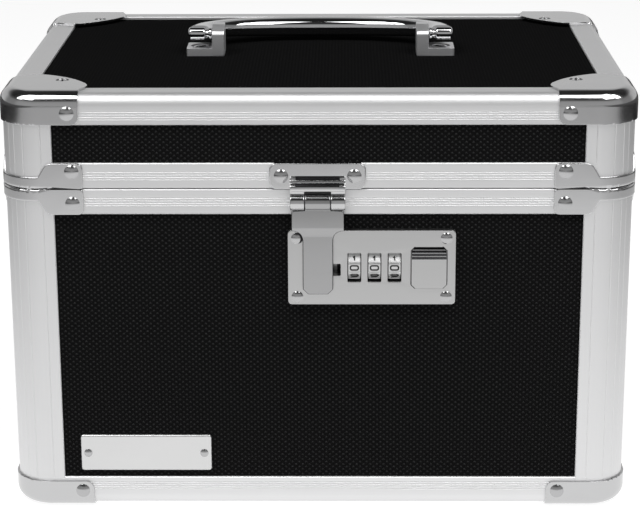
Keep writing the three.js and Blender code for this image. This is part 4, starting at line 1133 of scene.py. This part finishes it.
def number(bm, text, sizes):
    """One number, drawn in the plane of X and Z with lines of even width."""
    width, height, stroke = sizes.digit_width, sizes.digit_height, sizes.digit_stroke
    ink_rise = -0.04 * MM
    for rise, wide, tall in RINGS.get(text, ()):
        loops = [(wide * width + grown, tall * height + grown) for grown in (stroke, -stroke)]
        slab(bm, [rounded_rectangle(0, rise * height, a, b, 0.42 * b, 6) for a, b in loops],
             "y", ink_rise, 0)
    for line in STROKES.get(text, ()):
        points = [((a - 0.5) * width, (b - 0.5) * height) for a, b in line]
        slab(bm, [ribbon(points, stroke)], "y", ink_rise, 0)


class LOCKBOX_OT_lock(bpy.types.Operator):
    """Make the lock plate with its windows, the push button and the three number wheels."""

    bl_idname = "lockbox.lock"
    bl_label = "Lock plate, dials and button"

    def execute(self, context):
        sizes = context.scene.lockbox_lock
        make_plate(sizes)
        make_button(sizes)
        for place in DIALS:
            make_dial(place, sizes)
        return {"FINISHED"}


# Hasp
def make_hasp_bracket(pin):
    low, high, x, _ = front_of("hasp_bracket")
    face = -half_depth - 1.5 * MM
    tall, margin = 10.7 * MM, 2.2 * MM
    bm = bmesh.new()
    slab(bm, [chamfered_rectangle(x, lid_seam + tall / 2, high.x - low.x, tall, 2 * MM)],
         "y", face, -half_depth)
    soften(bm, 0.4 * MM, 3, both_ends(lambda co: co.y < face + SAME), math.radians(30))
    for side in (-1, 1):
        rivet(bm, (x + side * 14.6 * MM, face, lid_seam + 5.4 * MM), (0, -1, 0), CAP_RIVET)
    take(bm, hasp_web(pin.z + 3.7 * MM, face, x - HASP_HALF, x + HASP_HALF, margin))
    gap = HASP_NECK + 0.3 * MM
    for start, end in ((-HASP_HALF, -gap), (gap, HASP_HALF)):
        knuckle(bm, pin, x + start, x + end, HASP_BARREL, HASP_BORE)
    # The web's sloping faces between its cheeks get the near-black edging: a painted dark
    # reflection.
    finished(bm, "hasp_bracket_formed", "chrome", "lid", ["hasp_bracket"],
             edging="blackened", is_edge=lambda way, at: (
                 0.6 < way.z < 0.97 and abs(at.x - x) < HASP_HALF - margin
                 and at.z > pin.z + HASP_BARREL and at.y < face))


def hasp_web(top, face, start, end, margin):
    """The sheet that leaves the plate in two steps and rolls over the knuckles, with cheeks."""
    # Both in millimetres from the plate's face and from the top of the knuckles
    steps = [(0.5, 6.4), (0.1, 6.3), (-0.25, 5.95), (-1.95, 5), (-2.25, 4.55), (-2.35, 4.05),
             (-2.5, 3.8), (-3.5, 3.1), (-3.85, 2.65), (-4, 2.2), (-4, 1.2), (-3.8, 0.8),
             (-3.1, 0.6), (-2.6, 0.4), (0.5, 0.2)]
    cheek = [(0.35, 1.1), (-3.3, 1.1), (-3.4, 0.2), (-2.9, -2.2), (0.35, -2.2)]
    steps, cheek = ([(face + a * MM, top + b * MM) for a, b in side] for side in (steps, cheek))
    inner, outer = 5.6 * MM, 0.1 * MM
    bm = bmesh.new()
    slab(bm, [steps], "x", start, end)
    soften(bm, 0.3 * MM)
    cut_across(bm, [start + margin, end - margin], "x")
    slab(bm, [cheek], "x", start + outer, start + inner)
    slab(bm, [cheek], "x", end - inner, end - outer)
    return bm


def make_hasp_pin(pin):
    """A pin whose domed ends lie flush in the outer knuckles."""
    half, radius = HASP_HALF - 0.15 * MM, 1.4 * MM
    domed = [(0, radius), (0.2 * MM, 0.7 * radius), (0.3 * MM, 0)]
    bm = bmesh.new()
    lathe(bm, [(-half - a, r) for a, r in reversed(domed)] + [(half + a, r) for a, r in domed],
          (front_of("hasp_bracket")[2], pin.y, pin.z), (1, 0, 0), 20)
    finished(bm, "hasp_pin_flush", "steel", "lid", ["hasp_pin"])


def make_hasp_leaf(pin, sizes):
    low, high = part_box("hasp_leaf")
    x = centre_of("hasp_bracket").x
    back = lock_back - sizes.plate_thickness - 0.3 * MM
    front = back - 1.8 * MM
    foot, top = low.z, pin.z - HASP_BARREL - 0.3 * MM
    wide, narrow, shoulder, r, chamfer = 10.5 * MM, 6.1 * MM, 121 * MM, 4 * MM, 2.1 * MM
    left = [(-HASP_NECK, pin.z - 1 * MM), (-HASP_NECK, top), (0.5 * MM - wide, top),
            (-wide, top - 0.5 * MM), (-wide, shoulder)]
    left += arc(-narrow - r, shoulder - r, r, QUARTER, 0, 8)
    left += [(-narrow, foot + chamfer), (chamfer - narrow, foot)]
    outline = left + [(-a, z) for a, z in reversed(left)]
    bm = bmesh.new()
    slab(bm, [[(x + a, z) for a, z in outline]], "y", front, back)
    soften(bm, 0.55 * MM, 3, clamp=False, keep=both_ends(
        lambda co: abs(co.y - front) < SAME and co.z < top + 0.1 * MM))
    crank = [(foot, sizes.leaf_lean), (118.6 * MM, 0), (119.6 * MM, 0.06 * MM),
             (121.6 * MM, sizes.leaf_crank - 0.1 * MM), (122.6 * MM, sizes.leaf_crank),
             (top, sizes.leaf_crank - 0.25 * MM), (top + 0.6 * MM, sizes.leaf_crank + 0.3 * MM),
             (pin.z, 3.2 * MM)]
    cut_across(bm, [level for level, _ in crank[1:-1]], "z")
    for v in bm.verts:
        v.co.y -= moved_along(v.co.z, crank)
    knuckle(bm, pin, x - HASP_NECK, x + HASP_NECK, HASP_BARREL, HASP_BORE)
    take(bm, staple(pin, back, high.y))
    # The leaf's side and bevel faces below its shoulders get the near-black edging: a painted
    # shadow outline round the leaf.
    finished(bm, "hasp_leaf_formed", "leaf", "hasp", ["hasp_leaf"], sharp=30,
             edging="blackened", is_edge=lambda way, at: (
                 abs(way.y) < 0.8 and way.z < 0.3 and at.z < shoulder
                 and at.y < back - 0.01 * MM))


def staple(pin, back, tip):
    """The staple, bent round the hasp's axis, with a notch for the bolt in one side."""
    x0, x1, notch, half = -2.3 * MM, 3.5 * MM, 2 * MM, 1.4 * MM
    radius = math.hypot(pin.z - CATCH_Z, lock_back - 1.5 * MM - pin.y)
    start, end, opening, closing = (
        radius * math.asin((y - pin.y) / radius)
        for y in (back - 0.9 * MM, tip - 0.3 * MM, tip - 3.8 * MM, tip - 1.2 * MM))
    bm = bmesh.new()
    slab(bm, [[(x0, start), (x1, start), (x1, opening), (x1 - notch, opening),
               (x1 - notch, closing), (x1, closing), (x1, end), (x0, end)]], "z", -half, half)
    soften(bm, 0.25 * MM)
    cut_across(bm, [start + t for t in steps_to(end - start, 10)[1:-1]], "y")
    for v in bm.verts:
        turn, reach = v.co.y / radius, radius - v.co.z
        v.co = (v.co.x, pin.y + reach * math.sin(turn), pin.z - reach * math.cos(turn))
    return bm


class LOCKBOX_OT_hasp(bpy.types.Operator):
    """Make the hasp's bracket, its pin, and its leaf with the knuckle and the bent staple."""

    bl_idname = "lockbox.hasp"
    bl_label = "Hasp"

    def execute(self, context):
        pin = centre_of("hasp_pin")
        make_hasp_bracket(pin)
        make_hasp_pin(pin)
        make_hasp_leaf(pin, context.scene.lockbox_lock)
        return {"FINISHED"}


# Handle
def bail_route(t, arm_x, reach):
    """Point and direction of the bail's middle line from an arm's foot to the crown."""
    controls = [(arm_x, 1.2 * MM), (arm_x, reach * 0.7), (arm_x * 0.64, reach), (0, reach)]
    s = 1 - t
    weights = [s ** 3, 3 * t * s ** 2, 3 * t * t * s, t ** 3]
    slopes = [-3 * s ** 2, 3 * s ** 2 - 6 * t * s, 6 * t * s - 3 * t * t, 3 * t * t]
    point, along = (sum((Vector(c) * w for c, w in zip(controls, row)), Vector((0, 0)))
                    for row in (weights, slopes))
    return point, along.normalized()


def bail_barrel(bm, start, sign):
    """An end barrel with rounded ends, a waist with a ring, and the pivot pin."""
    radius, width, body, end = 2.8 * MM, 10.2 * MM, 2.6 * MM, 1.3 * MM
    profile = [(a * MM, r * MM) for a, r in (
        (-5.2, 0), (-5.2, 1.5), (0.1, 1.5), (0.1, 2.1), (0.4, 2.4), (1.1, 2.4), (1.4, 2.1),
        (1.5, 1.7), (2.1, 1.7))]
    turns = steps_to(QUARTER, 5)
    profile += [(body + end * (1 - math.cos(t)), radius - end + end * math.sin(t)) for t in turns]
    profile += [(width - end + end * math.sin(t), radius - end + end * math.cos(t)) for t in turns]
    lathe(bm, profile + [(width, 0)], (start, 0, 0), (sign, 0, 0), 36)


def make_bail(pivot):
    """The bail, swelling from its arms to its crown, with its end barrels, laid on the lid."""
    arm_x, reach, inner, steps = 52.4 * MM, 34.5 * MM, 46.9 * MM, 48
    tilt = math.asin((pivot.z - lid_panel_z - 5.3 * MM) / reach)
    bm = bmesh.new()
    rings = []
    for i in range(steps + 1):
        share = 1 - abs(1 - 2 * i / steps)
        side = 1 if i <= steps / 2 else -1
        point, along = bail_route(share, arm_x, reach)
        swell = math.sin(share * QUARTER)
        wide, thick, square = (4.3 + swell) * MM, (2.9 + 1.4 * swell) * MM, 0.62 + 0.28 * swell
        outward = Vector((side * along.y, -along.x, 0))
        where = Vector((side * point.x, point.y, 0.5 * MM))
        ring = bmesh.ops.create_circle(bm, cap_ends=i in (0, steps), radius=1, segments=32)["verts"]
        for v in ring:
            a, b = (math.copysign(abs(c) ** square, c) for c in (v.co.x, v.co.y))
            v.co = where + outward * wide * a + Vector((0, 0, thick * b))
        if rings:
            bmesh.ops.bridge_loops(bm, edges=edges_of(rings[-1]) + edges_of(ring))
        rings.append(ring)
    for sign in (-1, 1):
        bail_barrel(bm, sign * inner, sign)
    lie = Matrix.Translation(pivot) @ Matrix.Rotation(-tilt, 4, "X")
    bmesh.ops.transform(bm, matrix=lie, verts=bm.verts[:])
    finished(bm, "handle_bail", "polished", "handle", ["handle"], sharp=50)


def make_handle_bracket(side, pivot):
    """A foot with a countersunk screw, and the post that holds the bail's pin."""
    node, sign = "handle_bracket_" + side, SIGN[side]
    low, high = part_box(node)
    post_in, post_out, outer, seat_radius = 41.5 * MM, 46.8 * MM, 57.8 * MM, 3.9 * MM
    hair = 0.06 * MM  # keeps the post's faces out of the foot's
    front, rear = pivot.y - 5 * MM, high.y
    middle = (front + rear) / 2
    foot_top = low.z + 3.3 * MM
    screw_x = sign * 52.3 * MM
    bm = bmesh.new()
    foot = rounded_rectangle(sign * (post_in + hair + outer) / 2, middle, outer - post_in - hair,
                             rear - front, 0.8 * MM, 4)
    slab(bm, [foot, circle(screw_x, middle, seat_radius, 32)], "z", low.z, foot_top)
    soften(bm, 0.5 * MM, 3, both_ends(lambda co: co.z > low.z + 3 * MM))
    post_front, post_rear, post_low = front - hair, rear - 1.5 * MM, low.z + hair
    post = bmesh.new()
    slab(post, [[(post_front, post_low), (post_rear, post_low), (post_rear, high.z - 2 * MM),
                 (post_rear - 2 * MM, high.z), (post_front + 5 * MM, high.z),
                 (post_front + 0.9 * MM, high.z - 2.4 * MM), (post_front, high.z - 3.6 * MM)]],
         "x", *sorted((sign * post_in, sign * post_out)))
    soften(post, 0.35 * MM, 3, sharper=math.radians(14))
    take(bm, post)
    screw = [(-3.2, 0), (-3.2, 3.9), (-1.6, 3.9), (-0.8, 3.4), (-0.3, 2.8), (0, 1.9), (0.1, 1),
             (-0.6, 0.9), (-0.6, 0)]
    lathe(bm, [(a * MM, r * MM) for a, r in screw], (screw_x, middle, foot_top), UP, 32)
    finished(bm, node + "_cast", "satin", "lid", [node], edging="polished",
             is_edge=lambda way, at: (
                 math.hypot(at.x - screw_x, at.y - middle) < seat_radius - 0.05 * MM))


class LOCKBOX_OT_handle(bpy.types.Operator):
    """Make the bail with its end barrels, and its two brackets."""

    bl_idname = "lockbox.handle"
    bl_label = "Folding handle"

    def execute(self, context):
        joint = [j for j in frame["joints"] if j["name"] == "handle_pivot"][0]
        pivot = Vector(joint["pos_m"])
        make_bail(pivot)
        for side in ("left", "right"):
            make_handle_bracket(side, pivot)
        return {"FINISHED"}


# Hinges
def make_hinge_leaf(node, body, towards, pin):
    """A riveted leaf with its knuckles; the lid's has the lug that stops it."""
    plate, width, tall, close = 1.5 * MM, 30 * MM, 10 * MM, 3 * MM
    back = half_depth + plate
    z = pin.z + towards * (close + tall) / 2
    bm = bmesh.new()
    slab(bm, [chamfered_rectangle(pin.x, z, width, tall - close, 1.5 * MM)], "y", half_depth, back)
    spans = [(pin.x + a * MM, pin.x + b * MM)
             for a, b in ([(-6, 6)] if towards > 0 else [(-13.5, -6.3), (6.3, 13.5)])]
    for span in spans:
        neck = bmesh.new()
        slab(neck, [rectangle(*span, *sorted((z, pin.z + 0.3 * MM * towards)))], "y",
             half_depth, back)
        take(bm, neck)
    soften(bm, 0.3 * MM, 2, both_ends(lambda co: co.y > half_depth + 1 * MM))
    for side in (-1, 1):
        rivet(bm, (pin.x + side * 9 * MM, back, z), (0, 1, 0), 2 * MM)
    for span in spans:
        knuckle(bm, pin, *span, 2.7 * MM, 1.25 * MM)
    if towards > 0:
        lug, half = bmesh.new(), 0.75 * MM
        slab(lug, [rectangle(pin.y + 2 * MM, pin.y + 5 * MM, pin.z - half, pin.z + half)], "x",
             *spans[0])
        soften(lug, 0.25 * MM)
        take(bm, lug)
    finished(bm, node + "_pressed", "chrome", body, [node])


class LOCKBOX_OT_hinges(bpy.types.Operator):
    """Make the leaves of the two stop hinges behind."""

    bl_idname = "lockbox.hinges"
    bl_label = "Stop hinges"

    def execute(self, context):
        for side in ("left", "right"):
            for shell, towards in (("base", -1), ("lid", 1)):
                make_hinge_leaf(f"hinge_{shell}_leaf_{side}", shell, towards,
                                centre_of("hinge_pin_" + side))
        return {"FINISHED"}


class LOCKBOX_OT_nameplate(bpy.types.Operator):
    """Make the bare nameplate with its two pins."""

    bl_idname = "lockbox.nameplate"
    bl_label = "Nameplate"

    def execute(self, context):
        at, size = centre_of("nameplate"), size_of("nameplate")
        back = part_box("nameplate")[1].y
        face = back - 1 * MM
        bm = bmesh.new()
        slab(bm, [rounded_rectangle(at.x, at.z, size.x, size.z, 1.2 * MM)], "y", face, back)
        soften(bm, 0.8 * MM, 3, both_ends(lambda co: co.y < face + SAME))
        for side in (-1, 1):
            rivet(bm, (at.x + side * 24.1 * MM, face, at.z), (0, -1, 0), 1.75 * MM)
        finished(bm, "nameplate_pressed", "nameplate", "base", ["nameplate"])
        return {"FINISHED"}


class LOCKBOX_OT_panels(bpy.types.Operator):
    """Give the laminate panels and the small steel parts of the frame their finishes."""

    bl_idname = "lockbox.panels"
    bl_label = "Panels and steel parts"

    def execute(self, context):
        kept = {
            "laminate_front": ["base_front_panel", "base_back_panel", "lid_front_panel",
                               "lid_back_panel"],
            "laminate_side": ["base_left_panel", "base_right_panel", "lid_left_panel",
                              "lid_right_panel"],
            "laminate_top": ["lid_top_panel", "base_floor_panel"],
            "steel": ["lock_case", "hinge_pin_left", "hinge_pin_right"],
            "nickel": ["lock_bolt"],
            "felt": ["base_lining", "lid_lining"],
        }
        for finish, nodes in kept.items():
            for node in nodes:
                materials = frame["nodes"][node].data.materials
                materials.clear()
                materials.append(finishes[finish])
        return {"FINISHED"}


class LOCKBOX_OT_finishes(bpy.types.Operator):
    """Make the materials from the chosen colours."""

    bl_idname = "lockbox.finishes"
    bl_label = "Finishes"

    def execute(self, context):
        make_finishes(context.scene.lockbox_colours)
        return {"FINISHED"}


# Stage
def make_floor(settings):
    """A matt floor that is white to the camera and a pool of light in the metal."""
    bm = bmesh.new()
    bmesh.ops.create_grid(bm, x_segments=1, y_segments=1, size=12)
    mesh = bpy.data.meshes.new("floor")
    bm.to_mesh(mesh)
    bm.free()
    n = new_finish("floor")[0]
    n.shade({"Base Color": (*settings.floor_colour, 1), "Roughness": 0.9,
             "Specular IOR Level": 0.1})
    rays = n.add("LightPath").outputs
    pale = n.math("MULTIPLY", rays["Is Camera Ray"], 1.5)
    glow = n.add("Emission", {"Color": n.math("MAXIMUM", pool_of_light(n), pale)})
    seen = n.math("ADD", n.math("MULTIPLY", rays["Is Camera Ray"], 0.55),
                  n.math("MAXIMUM", rays["Is Glossy Ray"], rays["Is Transmission Ray"]), clamp=True)
    mix = n.add("MixShader", {0: seen, 1: n.tree.nodes["Principled BSDF"].outputs[0],
                              2: glow.outputs[0]})
    n.set(n.tree.nodes["Material Output"], {"Surface": mix.outputs[0]})
    mesh.materials.append(finishes["floor"])
    floor = bpy.data.objects.new("floor", mesh)
    bpy.context.scene.collection.objects.link(floor)


def pool_of_light(n):
    """How bright the floor looks in the metal: palest near the case, dark beyond its sides."""
    place = n.split("Object")

    def distance(a, b):
        squares = (n.math("MULTIPLY", side, side) for side in (a, b))
        return n.math("SQRT", n.math("ADD", *squares))

    away = distance(place["X"], n.math("ADD", place["Y"], 0.15))
    edge = distance(n.math("DIVIDE", place["X"], 0.8),
                    n.math("MAXIMUM", n.math("DIVIDE", place["Y"], 0.5)))
    pool = n.ramp(away, (0.2, 1.0), (0.4, 0.9), (0.47, 0.78), (0.54, 0.62), (0.7, 0.5),
                  (0.82, 0.43))
    rim = n.ramp(n.math("DIVIDE", edge, 2), (0.46, 1.0), (0.49, 0.02), (0.57, 0.03), (0.68, 0.2))
    return n.math("MULTIPLY", pool, rim)


def make_world(scene):
    """A pale horizon that darkens towards the ceiling, white where the camera sees it."""
    scene.world = bpy.data.worlds.new("studio")
    scene.world.use_nodes = True
    n = Nodes(scene.world.node_tree)
    way = n.split("Generated")
    tone = n.ramp(way["Z"], (0.0, 0.8), (0.25, 0.76), (0.42, 0.7), (0.55, 0.2), (0.65, 0.05),
                  (1.0, 0.05))
    facing = n.math("MULTIPLY", n.math("ADD", way["Y"], 1.0), 0.5)
    behind = n.ramp(facing, (0.0, 0.55), (0.25, 0.5), (0.35, 0.35), (0.6, 0.35), (0.75, 0.78))
    seen = n.add("LightPath").outputs["Is Camera Ray"]
    n.set(n.tree.nodes["Background"], {
        "Color": n.math("MAXIMUM", n.math("MULTIPLY", tone, behind), seen), "Strength": 1})


def make_lamps(scene, power):
    """Softboxes and strips; each row has a turn and a rise in degrees, a distance and a size."""
    for name, turn, rise, distance, width, height, share in (
        ("softbox_left", -38, 57, 1.3, 0.54, 0.75, 1),
        ("softbox_right", 38, 57, 1.3, 0.54, 0.75, 1),
        ("strip_left", -64, 48, 1.3, 0.3, 0.6, 0.45),
        ("strip_right", 64, 48, 1.3, 0.3, 0.6, 0.45),
        ("softbox_back", 180, 42, 1.6, 1.1, 0.5, 0.1),
    ):
        turn, rise = math.radians(turn), math.radians(rise)
        way = Vector((math.sin(turn) * math.cos(rise), -math.cos(turn) * math.cos(rise),
                      math.sin(rise)))
        data = bpy.data.lights.new(name, "AREA")
        data.shape = "RECTANGLE"
        data.size = width
        data.size_y = height
        data.energy = power * share
        lamp = bpy.data.objects.new(name, data)
        lamp.location = Vector((0, 0, 0.09)) + way * distance
        lamp.rotation_euler = way.to_track_quat("Z", "Y").to_euler()
        scene.collection.objects.link(lamp)


def make_camera(scene, settings):
    data = bpy.data.cameras.new("camera")
    data.sensor_width = 36
    data.lens = settings.focal_length
    camera = bpy.data.objects.new("camera", data)
    turn, tilt, roll = settings.camera_turn, settings.camera_tilt, settings.camera_roll
    right = Vector((math.cos(turn), math.sin(turn), 0))
    level = Vector((-math.sin(turn), math.cos(turn), 0))
    forward = level * math.cos(tilt) - UP * math.sin(tilt)
    up = level * math.sin(tilt) + UP * math.cos(tilt)
    matrix = Matrix((right * math.cos(roll) + up * math.sin(roll),
                     up * math.cos(roll) - right * math.sin(roll), -forward))
    matrix = matrix.transposed().to_4x4()
    matrix.translation = Vector(settings.camera_place)
    camera.matrix_world = matrix
    scene.collection.objects.link(camera)
    scene.camera = camera


class LOCKBOX_OT_stage(bpy.types.Operator):
    """Make the floor, the lamps, the world and the camera."""

    bl_idname = "lockbox.stage"
    bl_label = "Stage"

    def execute(self, context):
        scene, settings = context.scene, context.scene.lockbox_stage
        make_floor(settings)
        make_world(scene)
        make_lamps(scene, settings.softbox_power)
        make_camera(scene, settings)
        scene.view_settings.view_transform = "Standard"
        return {"FINISHED"}


class LOCKBOX_PT_panel(bpy.types.Panel):
    """Lists the steps that dress the lock box."""

    bl_idname = "LOCKBOX_PT_panel"
    bl_label = "Lock box"
    bl_space_type = "VIEW_3D"
    bl_region_type = "UI"
    bl_category = "Lock box"

    def draw(self, context):
        for step in STEPS:
            self.layout.operator(step.bl_idname)


STEPS = (
    LOCKBOX_OT_finishes, LOCKBOX_OT_stage, LOCKBOX_OT_panels, LOCKBOX_OT_extrusions,
    LOCKBOX_OT_posts, LOCKBOX_OT_corner_caps, LOCKBOX_OT_lock, LOCKBOX_OT_hasp,
    LOCKBOX_OT_handle, LOCKBOX_OT_hinges, LOCKBOX_OT_nameplate,
)
GROUPS = {
    "lockbox_case": CaseSizes, "lockbox_lock": LockSizes, "lockbox_colours": FinishColours,
    "lockbox_stage": StageSettings,
}


def register():
    for kind in (*GROUPS.values(), *STEPS, LOCKBOX_PT_panel):
        bpy.utils.register_class(kind)
    for name, kind in GROUPS.items():
        setattr(bpy.types.Scene, name, PointerProperty(type=kind))


def unregister():
    for name in GROUPS:
        delattr(bpy.types.Scene, name)
    for kind in (LOCKBOX_PT_panel, *reversed(STEPS), *reversed(list(GROUPS.values()))):
        bpy.utils.unregister_class(kind)


def main():
    register()
    bpy.ops.lockbox.finishes()
    bpy.ops.lockbox.stage()
    bpy.ops.lockbox.panels()
    bpy.ops.lockbox.extrusions()
    bpy.ops.lockbox.posts()
    bpy.ops.lockbox.corner_caps()
    bpy.ops.lockbox.lock()
    bpy.ops.lockbox.hasp()
    bpy.ops.lockbox.handle()
    bpy.ops.lockbox.hinges()
    bpy.ops.lockbox.nameplate()


if __name__ == "__main__":
    main()
